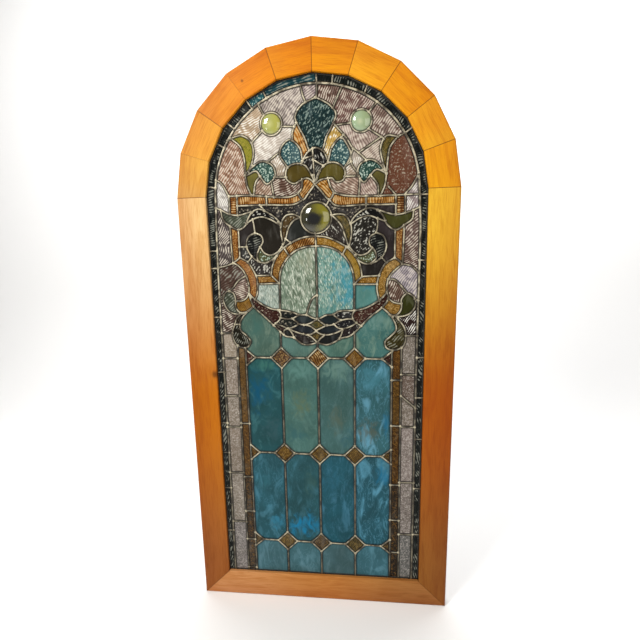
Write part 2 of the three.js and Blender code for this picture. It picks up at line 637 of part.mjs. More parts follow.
// What the leads leave of the sheet, in pieces.
function glassPieces(lines) {
  const reach = 5;
  const front = GLASS_FRONT - reach;
  const back = GLASS_BACK + reach;
  const cutters = lines.flatMap((line) => straps(line, line.width + 2 * GAP, front, back));
  const sheet = solidOf(plate(frameLine(PANEL_EDGE), GLASS_FRONT, GLASS_BACK));
  return sheet.subtract(join(cutters)).decompose();
}

// The piece that holds this point.
function pieceAt(pieces, x, z) {
  const probe = solidOf(new THREE.BoxGeometry(1, 40, 1).translate(x, 0, z));
  return pieces.find((piece) => {
    const { min, max } = piece.boundingBox();
    if (x < min[0] || x > max[0] || z < min[2] || z > max[2]) return false;
    return piece.intersect(probe).volume() > 0.1;
  });
}

function addGlass(lines) {
  const pieces = glassPieces(lines);
  const seeds = [...PANES];
  for (const [row, z] of PANE_ROWS) {
    for (const [column, x] of PANE_COLUMNS) {
      const shifted = row === "crown" && Math.abs(x) > 100 ? z + 30 : z;
      seeds.push([`pane_${row}_${column}`, x, shifted, "blue"]);
    }
  }
  STRIP_LEVELS.forEach((z, i) => {
    seeds.push([`strip_left_${i + 1}`, -278, z, "lavender"]);
    seeds.push([`strip_right_${i + 1}`, 281, z, "lavender"]);
  });
  for (const [name, x, z, glass] of seeds) {
    const piece = pieceAt(pieces, x, z).asOriginal().simplify(0.05);
    addMesh(name, geometryOf(piece), glass);
  }
}

// A jewel: a flat back, a short rim and a low dome, turned about the depth axis.
function jewel(radius, rise) {
  const profile = [new THREE.Vector2(0, GLASS_BACK), new THREE.Vector2(radius, GLASS_BACK)];
  const steps = 4;
  for (let i = 0; i <= steps; i += 1) {
    const angle = ((Math.PI / 2) * i) / steps;
    const across = i === steps ? 0 : radius * Math.cos(angle);
    profile.push(new THREE.Vector2(across, GLASS_FRONT - rise * Math.sin(angle)));
  }
  return new THREE.LatheGeometry(profile.reverse(), JEWEL_SIDES);
}

function addJewels() {
  for (const [name, x, z, radius, rise] of RINGS) {
    const clear = radius * Math.cos(Math.PI / RING_SIDES) - CAME / 2 - GAP;
    const bare = solidOf(jewel(clear, rise)).translate([x, 0, z]);
    addMesh(name, geometryOf(bare), name);
  }
}

// The bead of putty lies over the border glass and is notched where the short cames cross it.
function addPutty(lines) {
  const outline = frameLine(-GAP);
  const hole = frameLine(-PUTTY_WIDTH);
  const bead = solidOf(plate(outline, PUTTY_FRONT, GLASS_FRONT - GAP, hole));
  const front = CAME_FRONT - GAP;
  const cutters = lines.flatMap((line) => straps(line, line.width + 2 * GAP, front, CAME_BACK));
  addMesh("putty_bead", geometryOf(bead.subtract(join(cutters))), "putty");
}

const leadLines = allLines();
addFrame();
addMesh("lead_came", geometryOf(leadLattice(leadLines)), "lead");
addPutty(leadLines);
addJewels();
addGlass(leadLines);

export default window_;
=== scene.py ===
"""The looks of the arched stained glass window: oiled pine, lead came and coloured glass.

Sizes are millimetres and colours are sRGB from 0 to 255 until the meshes and materials are made.
The frame gives the depths and the wood, and the lead lines repeat the CAD's.
"""

import math

import bpy
import numpy as np
from mathutils import Matrix, Vector


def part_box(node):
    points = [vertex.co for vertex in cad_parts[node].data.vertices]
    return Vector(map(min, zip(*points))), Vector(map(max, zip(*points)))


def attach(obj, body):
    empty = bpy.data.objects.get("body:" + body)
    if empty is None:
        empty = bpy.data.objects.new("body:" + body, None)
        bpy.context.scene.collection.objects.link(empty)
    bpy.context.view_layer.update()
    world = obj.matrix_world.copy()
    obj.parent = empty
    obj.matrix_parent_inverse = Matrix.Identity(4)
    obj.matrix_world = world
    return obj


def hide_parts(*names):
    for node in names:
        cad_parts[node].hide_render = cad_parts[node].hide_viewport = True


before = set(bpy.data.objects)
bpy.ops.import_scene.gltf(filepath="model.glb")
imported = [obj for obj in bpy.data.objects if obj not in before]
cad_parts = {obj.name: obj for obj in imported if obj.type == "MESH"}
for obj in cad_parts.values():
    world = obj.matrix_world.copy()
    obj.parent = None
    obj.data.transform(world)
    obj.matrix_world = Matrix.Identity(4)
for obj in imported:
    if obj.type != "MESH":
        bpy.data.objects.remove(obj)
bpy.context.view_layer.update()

MM = 0.001


def millimetres(node):
    """The lowest and highest corner of a CAD node."""
    low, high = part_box(node)
    return low / MM, high / MM


RAIL = millimetres("bottom_rail")[1].z
OPENING = millimetres("stile_right")[0].x
GLASS_FRONT = millimetres("lily")[0].y
GLASS_BACK = millimetres("lily")[1].y
CAME_FRONT = millimetres("lead_came")[0].y
CAME_BACK = millimetres("lead_came")[1].y

# The lead lines, in the CAD's own numbers.
SPRING = 1348
ARCH_BLOCKS = 10
PANEL_EDGE = 7  # how far the panel reaches under the wood
CAME = 6
BORDER_CAME = 8
SNAP = 8  # an end this near another lead is soldered to it
SOLDER_AREA = 60  # a gap smaller than this is filled with solder, in square millimetres
BORDER_FROM = 303  # glass whose middle is further out than this is the border's
DULL_BELOW = 945  # the leads below this height get less of the pale painted highlight
DULL_DOME = (0, 1060, 130)  # x, z and radius of another patch of leads with less of the pale painted highlight
ARC_X = 1.5  # the middle of the border's arch
ARC_Z = 1346
ARC_RADIUS = 297
ARC_STEPS = 72
BORDER_LEFT = [[-303, 82], [-301, 700], [-302, 1100], [-299, 1250]]
BORDER_RIGHT = [[303.5, 1250], [303.5, 1150], [301, 900], [300, 82]]
SPUR_FOOT_LEFT = -301
SPUR_FOOT_RIGHT = 302
SPUR_ANGLES = [174.5, 152, 140.5, 126, 116.4, 88, 79.7, 61.6, 31]
SPURS_LEFT = [240, 400, 528, 633, 806, 985, 1137, 1190]
SPURS_RIGHT = [255, 420, 590, 727, 855, 1148, 1333]
COLUMNS = [-226, -114, 0.5, 114, 228]
COLUMN_TOPS = [937, 903, 934]
ROWS = [208.5, 530, 852.5]
ROW_SLOPE = -0.011
DIAMOND = 33
HALF_DIAMOND = [25, 29]
STRIPS = [
    [-302, -255, [275, 457, 619, 727, 852]],
    [-255, -227, [100, 210, 316, 443, 632]],
    [228, 256, [185, 304, 430, 633, 783]],
    [256, 300, [253, 440, 630, 801]],
    [268, 302, [923]],
]
RINGS = [
    ["jewel_centre", 3.5, 1278.5, 45.5],
    ["jewel_left", -120, 1543, 31],
    ["jewel_right", 135, 1538, 30],
]
LEADS = [
    # Long leads of the strips beside the panes.
    [(-226, 82), (-227, 500), (-228, 887)], [(228, 82), (228, 500), (227, 880)],
    [(-255, 82), (-255, 500), (-254, 893)], [(257, 82), (256, 500), (256, 886)],
    # The swag: its two edges, knots, leaves and tips.
    [(-208, 1058), (-198, 1047), (-175, 1028), (-158, 1018), (-138, 1009), (-112, 1005), (-85, 1001),
     (-68, 996), (-52, 990), (-32, 990), (-12, 980), (1, 977)],
    [(-208, 1058), (-204, 1040), (-195, 1018), (-165, 988), (-138, 962), (-112, 936), (-97, 923),
     (-72, 919), (-62, 910), (-48, 899), (-30, 896), (0, 903)],
    [(211, 1056), (200, 1042), (188, 1032), (165, 1017), (140, 1007), (113, 1002), (88, 1002),
     (66, 999), (50, 990), (28, 988), (10, 979), (1, 977)],
    [(211, 1056), (215, 1038), (197, 1010), (165, 985), (137, 957), (117, 936), (98, 922), (72, 916),
     (54, 905), (28, 896), (0, 903)],
    [(-118, 1006), (-111, 990), (-116, 975), (-133, 960)],
    [(116, 1002), (108, 988), (111, 973), (120, 963), (134, 955)],
    [(-110, 981), (-92, 978), (-76, 979), (-54, 990)],
    [(-76, 979), (-58, 962), (-72, 953), (-90, 948), (-108, 956), (-126, 961)],
    [(-58, 962), (-40, 959), (-20, 964), (1, 977)],
    [(-90, 948), (-66, 937), (-42, 930), (-20, 929), (-2, 940)], [(-40, 959), (-22, 955), (-2, 940)],
    [(-42, 930), (-20, 922), (0, 903)], [(-90, 948), (-78, 934), (-72, 919)],
    [(-90, 948), (-103, 941), (-103, 929)], [(50, 990), (60, 981), (74, 973), (92, 976), (109, 976)],
    [(1, 977), (14, 966), (30, 957), (52, 960), (74, 973)],
    [(119, 963), (103, 953), (80, 946), (66, 948), (52, 960)],
    [(30, 957), (14, 949), (-2, 940), (8, 931), (30, 927), (55, 932), (78, 943)],
    [(0, 903), (10, 916), (22, 925)], [(79, 945), (75, 930), (69, 917)],
    # Commas at the ends of the swag.
    [(-195, 1018), (-222, 996), (-240, 970), (-241, 944), (-222, 925), (-210, 906), (-222, 888),
     (-245, 889), (-263, 909), (-267, 938), (-258, 962), (-251, 981), (-240, 991)],
    [(-258, 962), (-242, 961)],
    [(-224, 996), (-248, 994), (-272, 1002), (-287, 1024), (-290, 1048), (-276, 1066), (-258, 1061),
     (-251, 1037), (-253, 1018), (-240, 1000), (-220, 1000), (-195, 1018)],
    [(197, 1010), (219, 989), (236, 962), (239, 940), (222, 921), (206, 904), (212, 885), (238, 879),
     (261, 892), (268, 918), (262, 950), (236, 984)],
    [(219, 989), (236, 985), (250, 998), (254, 1013), (253, 1034), (270, 1052), (290, 1040),
     (294, 1013), (278, 990), (250, 982), (236, 985)],
    [(-289, 1054), (-302, 1046)], [(293, 1034), (303, 1030)],
    # Round amber feet under the shoulders.
    [(-251, 1036), (-232, 1036), (-217, 1044), (-208, 1058)], [(215, 1038), (230, 1026), (252, 1021)],
    # Shoulder bands beside the dome.
    [(-253, 1152), (-240, 1146), (-224, 1130), (-212, 1104), (-207, 1078), (-208, 1058)],
    [(-231, 1168), (-207, 1154), (-192, 1131), (-182, 1108), (-180, 1078), (-183, 1054), (-189, 1040)],
    [(-253, 1152), (-241, 1160), (-231, 1168)],
    [(255, 1138), (235, 1122), (217, 1102), (210, 1078), (211, 1056)],
    [(232, 1157), (208, 1143), (193, 1121), (184, 1096), (181, 1066), (188, 1032)],
    [(232, 1157), (244, 1149), (255, 1138)],
    # Joints of the wings, strips and mauve glass at the sides.
    [(-215, 1113), (-240, 1098), (-258, 1076), (-270, 1066)],
    [(212, 1095), (232, 1093), (253, 1073), (269, 1053)], [(-301, 934), (-267, 934)],
    [(256, 733), (300, 694)], [(-302, 1140), (-280, 1143), (-253, 1152)],
    [(255, 1138), (280, 1132), (303, 1110)],
    # Amber strips up the sides.
    [(-253, 1152), (-256, 1200), (-256, 1263)], [(-231, 1168), (-231, 1251)],
    [(255, 1138), (257, 1200), (258, 1249)], [(232, 1157), (232, 1237)], [(-255, 1349), (-255, 1297)],
    [(-231, 1349), (-231, 1293)], [(260, 1334), (260, 1284)], [(233, 1334), (233, 1280)],
    # Smiles and necks under the bar.
    [(-299, 1317), (-283, 1311), (-256, 1297), (-231, 1293), (-210, 1297), (-189, 1302)],
    [(-283, 1311), (-277, 1283), (-257, 1263), (-230, 1251), (-210, 1261), (-200, 1283), (-187, 1301),
     (-166, 1309), (-143, 1300), (-118, 1283), (-101, 1264)],
    [(-205, 1268), (-186, 1280), (-158, 1286), (-132, 1278), (-102, 1259)],
    [(302, 1299), (283, 1291), (258, 1283), (232, 1280), (205, 1287), (182, 1295)],
    [(283, 1291), (280, 1267), (259, 1250), (233, 1237), (209, 1253), (197, 1278), (180, 1295),
     (158, 1301), (135, 1293), (113, 1275), (104, 1259)],
    [(202, 1263), (181, 1271), (157, 1279), (130, 1273), (105, 1257)],
    [(-186, 1280), (-183, 1260), (-181, 1240)], [(182, 1271), (182, 1252), (178, 1231)],
    # Tadpoles and the crescents that hold them.
    [(-163, 1320), (-155, 1312), (-150, 1304)],
    [(-181, 1240), (-201, 1229), (-209, 1204), (-200, 1179), (-181, 1159), (-155, 1150), (-132, 1159),
     (-118, 1171)],
    [(-181, 1240), (-163, 1232), (-158, 1214), (-171, 1192), (-178, 1172), (-175, 1155)],
    [(-167, 1198), (-156, 1181), (-136, 1173), (-113, 1183), (-97, 1205)], [(-231, 1200), (-209, 1200)],
    [(-193, 1171), (-207, 1154)],
    [(178, 1231), (198, 1221), (208, 1194), (199, 1165), (174, 1145), (148, 1141), (128, 1151),
     (116, 1165)],
    [(178, 1231), (160, 1218), (159, 1197), (175, 1177), (178, 1157), (163, 1143)],
    [(167, 1187), (151, 1171), (130, 1167), (112, 1178), (99, 1194)], [(194, 1159), (208, 1143)],
    # The dome: its band, joints, feet, ledges and repair.
    [(-137, 1113), (-132, 1140), (-117, 1171), (-95, 1194), (-64, 1213), (-30, 1224), (1, 1226)],
    [(137, 1104), (132, 1135), (117, 1165), (94, 1190), (64, 1209), (32, 1222), (1, 1226)],
    [(-113, 1005), (-112, 1050), (-112, 1088), (-106, 1128), (-88, 1160), (-60, 1184), (-28, 1195),
     (2, 1197)],
    [(114, 1002), (114, 1040), (114, 1081), (109, 1120), (92, 1156), (64, 1182), (32, 1194), (2, 1197)],
    [(1, 977), (2, 1090), (1, 1232)], [(-95, 1194), (-80, 1170)], [(92, 1192), (79, 1170)],
    [(-137, 1113), (-113, 1089)], [(137, 1104), (114, 1081)], [(-183, 1113), (-137, 1113)],
    [(-180, 1087), (-112, 1088)], [(186, 1106), (137, 1104)], [(182, 1080), (114, 1081)],
    [(-1, 1050), (-14, 1038), (-25, 1014), (-32, 990)],
    # Leaves beside the middle jewel.
    [(-97, 1203), (-102, 1234), (-101, 1264), (-88, 1286), (-66, 1291), (-43, 1281)],
    [(-97, 1203), (-88, 1222), (-80, 1250), (-64, 1272), (-43, 1281)],
    [(99, 1190), (107, 1230), (104, 1259), (88, 1283), (68, 1287), (49, 1284)],
    [(99, 1190), (87, 1226), (78, 1252), (62, 1272), (49, 1284)], [(-88, 1220), (-74, 1209)],
    # The amber bar and its tails.
    [(-255, 1349), (-190, 1349), (-130, 1343), (-90, 1340), (-65, 1342), (-47, 1349)],
    [(-231, 1320), (-142, 1320), (-60, 1319), (-33, 1331)],
    [(302, 1334), (234, 1334), (130, 1335), (85, 1339), (56, 1347)],
    [(43, 1329), (60, 1312), (148, 1311), (190, 1309), (233, 1309)], [(-142, 1345), (-142, 1320)],
    [(149, 1335), (148, 1301)], [(-34, 1388), (-22, 1391), (-10, 1386), (2, 1373)],
    [(2, 1373), (-15, 1351), (-33, 1331), (-47, 1349), (-38, 1362), (-34, 1388)],
    [(2, 1373), (20, 1385), (40, 1388)],
    [(2, 1373), (18, 1355), (43, 1329), (56, 1347), (47, 1364), (40, 1388)], [(43, 1329), (34, 1313)],
    # The lily, the dark fan, petals and buds.
    [(9, 1606), (-32, 1588), (-51, 1558), (-40, 1529), (-24, 1499), (-15, 1470)],
    [(9, 1606), (45, 1586), (65, 1561), (53, 1528), (37, 1500), (28, 1470)],
    [(-33, 1438), (-19, 1460), (5, 1473), (28, 1462), (41, 1434)], [(-3, 1472), (-1, 1420), (2, 1373)],
    [(-30, 1445), (-2, 1452)], [(-1, 1441), (24, 1427)], [(14, 1410), (2, 1373)],
    [(-50, 1541), (-60, 1515), (-60, 1497)],
    [(-33, 1438), (-40, 1474), (-68, 1498), (-92, 1480), (-98, 1458), (-80, 1427)],
    [(41, 1434), (53, 1472), (79, 1496), (98, 1472), (106, 1448), (86, 1412)], [(85, 1503), (79, 1496)],
    # Stems and links of the head.
    [(57, 1538), (74, 1517), (95, 1494), (110, 1468), (128, 1453), (149, 1433)],
    [(128, 1454), (188, 1488)], [(112, 1464), (106, 1448), (108, 1424), (124, 1401)],
    [(91, 1422), (107, 1430)], [(91, 1390), (126, 1390)], [(-115, 1396), (-83, 1396)],
    [(-135, 1440), (-112, 1457), (-98, 1466)],
    # Scrolls.
    [(2, 1373), (-7, 1398), (-26, 1426), (-54, 1432), (-78, 1420), (-81, 1392), (-60, 1377),
     (-34, 1388)],
    [(2, 1373), (14, 1406), (38, 1429), (66, 1429), (88, 1410), (84, 1382), (63, 1377), (52, 1388),
     (40, 1388)],
    [(-33, 1438), (-36, 1431)],
    [(-202, 1406), (-178, 1430), (-150, 1443), (-120, 1429), (-114, 1400), (-138, 1379), (-156, 1398),
     (-169, 1416), (-202, 1404)],
    [(206, 1394), (186, 1421), (160, 1434), (132, 1422), (125, 1398), (143, 1373), (160, 1390),
     (178, 1406), (206, 1394)],
    # Leaves and drops over the bar.
    [(-158, 1402), (-172, 1385), (-180, 1349)], [(-202, 1406), (-198, 1375), (-187, 1349)],
    [(161, 1392), (181, 1366), (184, 1335)], [(206, 1394), (202, 1362), (190, 1335)],
    [(-125, 1384), (-120, 1342)], [(130, 1382), (128, 1335)],
    # Crescents of the head.
    [(-241, 1510), (-208, 1516), (-182, 1499), (-175, 1464), (-186, 1428), (-202, 1406)],
    [(-241, 1510), (-214, 1487), (-203, 1452), (-202, 1406)], [(-241, 1510), (-254, 1506)],
    [(236, 1491), (206, 1495), (189, 1466), (194, 1430), (206, 1394)],
    [(236, 1491), (216, 1465), (209, 1430), (206, 1394)], [(236, 1491), (260, 1500)],
    # Cheeks.
    [(-291, 1396), (-276, 1386), (-255, 1349)], [(256, 1334), (276, 1355), (298, 1392)],
    [(213, 1357), (233, 1334)],
    # Spokes of the head.
    [(-34, 1644), (-28, 1615), (-19, 1593)], [(12, 1646), (12, 1620), (9, 1606)],
    [(84, 1635), (57, 1577)], [(179, 1585), (157, 1560)], [(-156, 1598), (-141, 1568)],
    [(-90, 1535), (-50, 1531)], [(106, 1534), (64, 1531)], [(-146, 1526), (-180, 1495)],
    [(157, 1514), (195, 1490)],
]


# Repeatable random numbers and noise over the plane of the window.


def lattice_random(column, row, seed):
    """A number from 0 to 1 for each whole column and row."""
    mixed = np.sin(column * 127.1 + row * 311.7 + seed * 74.7) * 43758.5453
    return mixed - np.floor(mixed)


def noise(x, z, size, seed):
    """Smooth noise from -1 to 1 whose lumps are about this size."""
    u = np.asarray(x, float) / size
    v = np.asarray(z, float) / size
    column = np.floor(u)
    row = np.floor(v)
    s = u - column
    t = v - row
    s = s * s * (3 - 2 * s)
    t = t * t * (3 - 2 * t)
    low = lattice_random(column, row, seed) * (1 - s) + lattice_random(column + 1, row, seed) * s
    high = (
        lattice_random(column, row + 1, seed) * (1 - s)
        + lattice_random(column + 1, row + 1, seed) * s
    )
    return 2 * (low * (1 - t) + high * t) - 1


def turned(x, z, angle):
    """Coordinates along and across a direction, in degrees from the x axis."""
    c = math.cos(math.radians(angle))
    s = math.sin(math.radians(angle))
    return x * c + z * s, z * c - x * s


# The lead lines.


def smooth(points, steps=8):
    """A centripetal Catmull-Rom curve through the points."""
    if len(points) == 2:
        return [np.array(p, float) for p in points]
    inner = [np.array(p, float) for p in points]
    p = [2 * inner[0] - inner[1], *inner, 2 * inner[-1] - inner[-2]]
    curve = []
    for i in range(1, len(p) - 2):
        gaps = [math.sqrt(np.linalg.norm(p[k + 1] - p[k])) for k in (i - 1, i, i + 1)]
        before = (p[i] - p[i - 1]) / gaps[0] - (p[i + 1] - p[i - 1]) / (gaps[0] + gaps[1])
        after = (p[i + 2] - p[i + 1]) / gaps[2] - (p[i + 2] - p[i]) / (gaps[1] + gaps[2])
        chord = (p[i + 1] - p[i]) / gaps[1]
        start = (before + chord) * gaps[1]
        end = (after + chord) * gaps[1]
        rise = p[i + 1] - p[i]
        for k in range(steps):
            w = k / steps
            curve.append(
                p[i] + start * w + (3 * rise - 2 * start - end) * w * w + (start + end - 2 * rise) * w**3
            )
    return [*curve, inner[-1]]


def nearest_on_line(point, line):
    """The nearest point of a line, and how far it is."""
    start = line[:-1]
    step = line[1:] - start
    along = ((point - start) * step).sum(1) / np.maximum(1e-9, (step * step).sum(1))
    near = start + step * np.clip(along, 0, 1)[:, None]
    far = np.linalg.norm(near - point, axis=1)
    best = far.argmin()
    return near[best], far[best]


def snapped(lines, own, point):
    """The place on another lead that this end is soldered to."""
    best = SNAP
    target = point
    for i, (line, _) in enumerate(lines):
        if i == own:
            continue
        near, far = nearest_on_line(point, line)
        if far < best:
            best = far
            target = near
    return target


def arc(x, z, radius, start, end, steps):
    """Points of an arc, from one angle to another."""
    angles = np.linspace(start, end, steps + 1)
    return np.stack([x + radius * np.cos(angles), z + radius * np.sin(angles)], 1)


def grid_lines():
    """The tall panes' columns, diamonds and short bars, and the joints of the strips."""
    found = []
    half_height, half_width = HALF_DIAMOND
    last = len(COLUMNS) - 1

    def level(row, x):
        return row + ROW_SLOPE * x

    for row in ROWS:
        for k, x in enumerate(COLUMNS):
            z = level(row, x)
            left = 0 if k == 0 else half_width if k == last else DIAMOND
            right = 0 if k == last else half_width if k == 0 else DIAMOND
            tall = half_height if k in (0, last) else DIAMOND
            for side in [-left] * (left > 0) + [right] * (right > 0):
                found.append([[x, z + tall], [x + side, z]])
                found.append([[x + side, z], [x, z - tall]])
            if k < last:
                reach = COLUMNS[k + 1] - (half_width if k + 1 == last else DIAMOND)
                found.append([[x + right, z], [reach, level(row, reach)]])
    for x, top in zip(COLUMNS[1:-1], COLUMN_TOPS):
        ends = [RAIL - PANEL_EDGE]
        for row in ROWS:
            ends += [level(row, x) - DIAMOND, level(row, x) + DIAMOND]
        ends.append(top)
        for low, high in zip(ends[::2], ends[1::2]):
            found.append([[x, low], [x, high]])
    for left, right, levels in STRIPS:
        for z in levels:
            found.append([[left, z], [right, z]])
    return found


def facet_radius(angle):
    """How far a side of the many-sided arch lies at this angle, as a part of its corners'."""
    step = math.pi / ARCH_BLOCKS
    return math.cos(step / 2) / math.cos(angle % step - step / 2)


def border_lines():
    """The border came and the short cames between it and the wood."""
    curve = arc(ARC_X, ARC_Z, ARC_RADIUS, math.pi, 0, ARC_STEPS)
    border = np.array([*smooth(BORDER_LEFT), *curve[1:-1], *smooth(BORDER_RIGHT)])
    reach = OPENING + PANEL_EDGE
    spurs = [[[-reach, z], [SPUR_FOOT_LEFT, z]] for z in SPURS_LEFT]
    spurs += [[[SPUR_FOOT_RIGHT, z], [reach, z]] for z in SPURS_RIGHT]
    for angle in map(math.radians, SPUR_ANGLES):
        far = reach * facet_radius(angle)
        out = [far * math.cos(angle), SPRING + far * math.sin(angle)]
        foot = [ARC_X + ARC_RADIUS * math.cos(angle), ARC_Z + ARC_RADIUS * math.sin(angle)]
        spurs.append([foot, out])
    return border, spurs


def lead_lines():
    """Every lead as (points, width), and the joints that are soldered."""
    border, spurs = border_lines()
    straight = [*spurs, *grid_lines()]
    rings = [arc(x, z, radius, 0, 2 * math.pi, 48) for _, x, z, radius in RINGS]
    lines = [(border, BORDER_CAME)]
    lines += [(np.array(points, float), CAME) for points in straight]
    lines += [(ring, CAME) for ring in rings]
    joints = [end for points in straight for end in points]
    for points in LEADS:
        lines.append((np.array(smooth(points)), CAME))
    for i in range(len(lines) - len(LEADS), len(lines)):
        points = lines[i][0]
        start = snapped(lines, i, points[0])
        end = snapped(lines, i, points[-1])
        inner = [
            p for p in points[1:-1]
            if min(np.linalg.norm(p - start), np.linalg.norm(p - end)) > CAME / 2
        ]
        lines[i] = (np.array([start, *inner, end]), CAME)
        joints += [start, end]
    return lines, joints


# A fine grid over the panel: how far each point is from a came, and which piece it is in.

GRID_LEFT = -332
GRID_LOW = 80
GRID_WIDTH = 665
GRID_HEIGHT = 1596
OPEN = 0.3  # a grid point this far from the came's edge is open glass
GLASS_UNDER_CAME = 2.1  # how far the glass reaches under a came's edge


def came_distance(lines):
    """Distance from each grid point, 1 mm apart, to the nearest came's edge."""
    clear = np.full((GRID_HEIGHT, GRID_WIDTH), 50.0)
    reach = 14
    for points, width in lines:
        for a, b in zip(points[:-1], points[1:]):
            low = np.floor(np.minimum(a, b) - reach).astype(int) - [GRID_LEFT, GRID_LOW]
            high = np.ceil(np.maximum(a, b) + reach).astype(int) - [GRID_LEFT, GRID_LOW]
            low = np.clip(low, 0, [GRID_WIDTH, GRID_HEIGHT])
            high = np.clip(high, 0, [GRID_WIDTH, GRID_HEIGHT])
            x = np.arange(low[0], high[0]) + GRID_LEFT
            z = (np.arange(low[1], high[1]) + GRID_LOW)[:, None]
            step = b - a
            along = ((x - a[0]) * step[0] + (z - a[1]) * step[1]) / max(1e-9, step @ step)
            along = np.clip(along, 0, 1)
            off = np.hypot(x - a[0] - step[0] * along, z - a[1] - step[1] * along) - width / 2
            part = clear[low[1]:high[1], low[0]:high[0]]
            np.minimum(part, off, out=part)
    return clear


def frame_corners(out):
    """The corners of a line round the frame, this far outside the opening's edge."""
    half = OPENING + out
    corners = [[-half, RAIL - out], [half, RAIL - out]]
    for angle in np.linspace(0, math.pi, ARCH_BLOCKS + 1):
        corners.append([half * math.cos(angle), SPRING + half * math.sin(angle)])
    return np.array(corners)


def inside_panel():
    """How far each grid point is inside the panel's edge."""
    x = np.arange(GRID_WIDTH) + GRID_LEFT
    z = (np.arange(GRID_HEIGHT) + GRID_LOW)[:, None]
    depth = np.full((GRID_HEIGHT, GRID_WIDTH), 1000.0)
    corners = frame_corners(PANEL_EDGE)
    for a, b in zip(corners, np.roll(corners, -1, axis=0)):
        step = (b - a) / np.linalg.norm(b - a)
        np.minimum(depth, (z - a[1]) * step[0] - (x - a[0]) * step[1], out=depth)
    return depth


def numbered_pieces(open_glass):
    """A number for each separate patch of open glass, by joining runs row by row."""
    parent = [0]
    numbers = np.zeros(open_glass.shape, int)

    def root(i):
        while parent[i] != i:
            parent[i] = parent[parent[i]]
            i = parent[i]
        return i

    for row in range(open_glass.shape[0]):
        edges = np.flatnonzero(np.diff(np.concatenate([[0], open_glass[row].astype(int), [0]])))
        for start, end in zip(edges[::2], edges[1::2]):
            below = np.unique(numbers[row - 1, start:end]) if row else np.array([0])
            below = sorted({root(i) for i in below if i})
            if below:
                number = below[0]
                for other in below[1:]:
                    parent[other] = number
            else:
                number = len(parent)
                parent.append(number)
            numbers[row, start:end] = number
    return np.array([root(i) for i in range(len(parent))])[numbers]


def spread(numbers, clear):
    """Carries each piece's number on under the cames, to the nearest centre line."""
    for _ in range(6):
        free = (numbers == 0) & (clear <= OPEN)
        for axis, way in ((0, 1), (0, -1), (1, 1), (1, -1)):
            near = np.roll(numbers, way, axis=axis)
            take = free & (numbers == 0) & (near > 0)
            numbers[take] = near[take]
    return numbers


# A sheet of glass is cut to its cell as a grid of small squares with a neat edge.


class Cutter:
    """Cuts one piece of glass out of the grid."""

    def __init__(self, panel, number, step):
        rows, columns = np.nonzero(panel.numbers == number)
        self.step = step
        self.low = np.array([columns.min(), rows.min()]) - step - 1
        self.low -= self.low % step
        high = np.array([columns.max(), rows.max()]) + 2 * step
        high = np.minimum(high, [GRID_WIDTH - 1, GRID_HEIGHT - 1])
        self.low = np.maximum(self.low, 0)
        window = (
            slice(self.low[1], high[1] + 1, step),
            slice(self.low[0], high[0] + 1, step),
        )
        core = panel.clear[window] + CAME / 2
        own = panel.numbers[window] == number
        margin = CAME / 2 - GLASS_UNDER_CAME
        field = np.where(own, core - margin, -np.abs(core) - margin)
        self.field = np.minimum(field, panel.depth[window])
        self.clear = panel.clear[window]
        self.points = []
        self.edge_clear = []
        self.corner_index = {}
        self.cut_index = {}
        self.faces = []

    def point(self, row, column, clear):
        """Adds a point at a row and column, which may lie between grid points."""
        x, z = self.low + np.array([column, row]) * self.step
        self.points.append((x + GRID_LEFT, z + GRID_LOW))
        self.edge_clear.append(clear)
        return len(self.points) - 1

    def corner(self, row, column):
        """The point at a grid corner, made once."""
        key = (row, column)
        if key not in self.corner_index:
            self.corner_index[key] = self.point(row, column, self.clear[row, column])
        return self.corner_index[key]

    def cut(self, a, b):
        """The point between two corners where the glass ends."""
        key = (min(a, b), max(a, b))
        if key not in self.cut_index:
            fa = self.field[key[0]]
            fb = self.field[key[1]]
            share = min(0.98, max(0.02, fa / (fa - fb)))
            row = key[0][0] + (key[1][0] - key[0][0]) * share
            column = key[0][1] + (key[1][1] - key[0][1]) * share
            self.cut_index[key] = self.point(row, column, -GLASS_UNDER_CAME)
        return self.cut_index[key]

    def clip(self, corners):
        """Keeps the part of a triangle that is glass."""
        kept = []
        for a, b in zip(corners, corners[1:] + corners[:1]):
            if self.field[a] > 0:
                kept.append(self.corner(*a))
            if (self.field[a] > 0) != (self.field[b] > 0):
                kept.append(self.cut(a, b))
        if len(kept) >= 3:
            self.faces.append(kept)

    def run(self):
        """The front face as points, faces, and each point's distance from a came."""
        inside = self.field > 0
        count = inside[:-1, :-1] + 0 + inside[1:, :-1] + inside[:-1, 1:] + inside[1:, 1:]
        for whole in (True, False):
            wanted = count == 4 if whole else (count > 0) & (count < 4)
            for row, column in np.argwhere(wanted):
                a = (row, column)
                b = (row, column + 1)
                c = (row + 1, column + 1)
                d = (row + 1, column)
                if whole:
                    self.faces.append([self.corner(*k) for k in (a, b, c, d)])
                else:
                    self.clip([a, b, c])
                    self.clip([a, c, d])
        return np.array(self.points, float), self.faces, np.array(self.edge_clear)


def edge_loops(faces):
    """The loops of edges that only one face has, in the faces' own direction."""
    following = {}
    for face in faces:
        for a, b in zip(face, face[1:] + face[:1]):
            following[(a, b)] = True
    onward = {a: b for a, b in following if (b, a) not in following}
    loops = []
    while onward:
        start, at = onward.popitem()
        loop = [start]
        while at != start:
            loop.append(at)
            at = onward.pop(at)
        loops.append(loop)
    return loops


def closed_plate(faces, count):
    """Adds a back and sides to a front face: the back's points follow the front's edge."""
    loops = edge_loops(faces)
    sides = []
    back_source = []
    for loop in loops:
        first = count + len(back_source)
        ring = list(range(first, first + len(loop)))
        back_source += loop
        for k in range(len(loop)):
            after = (k + 1) % len(loop)
            sides.append([loop[after], loop[k], ring[k], ring[after]])
        sides.append(ring[::-1])
    return sides, back_source


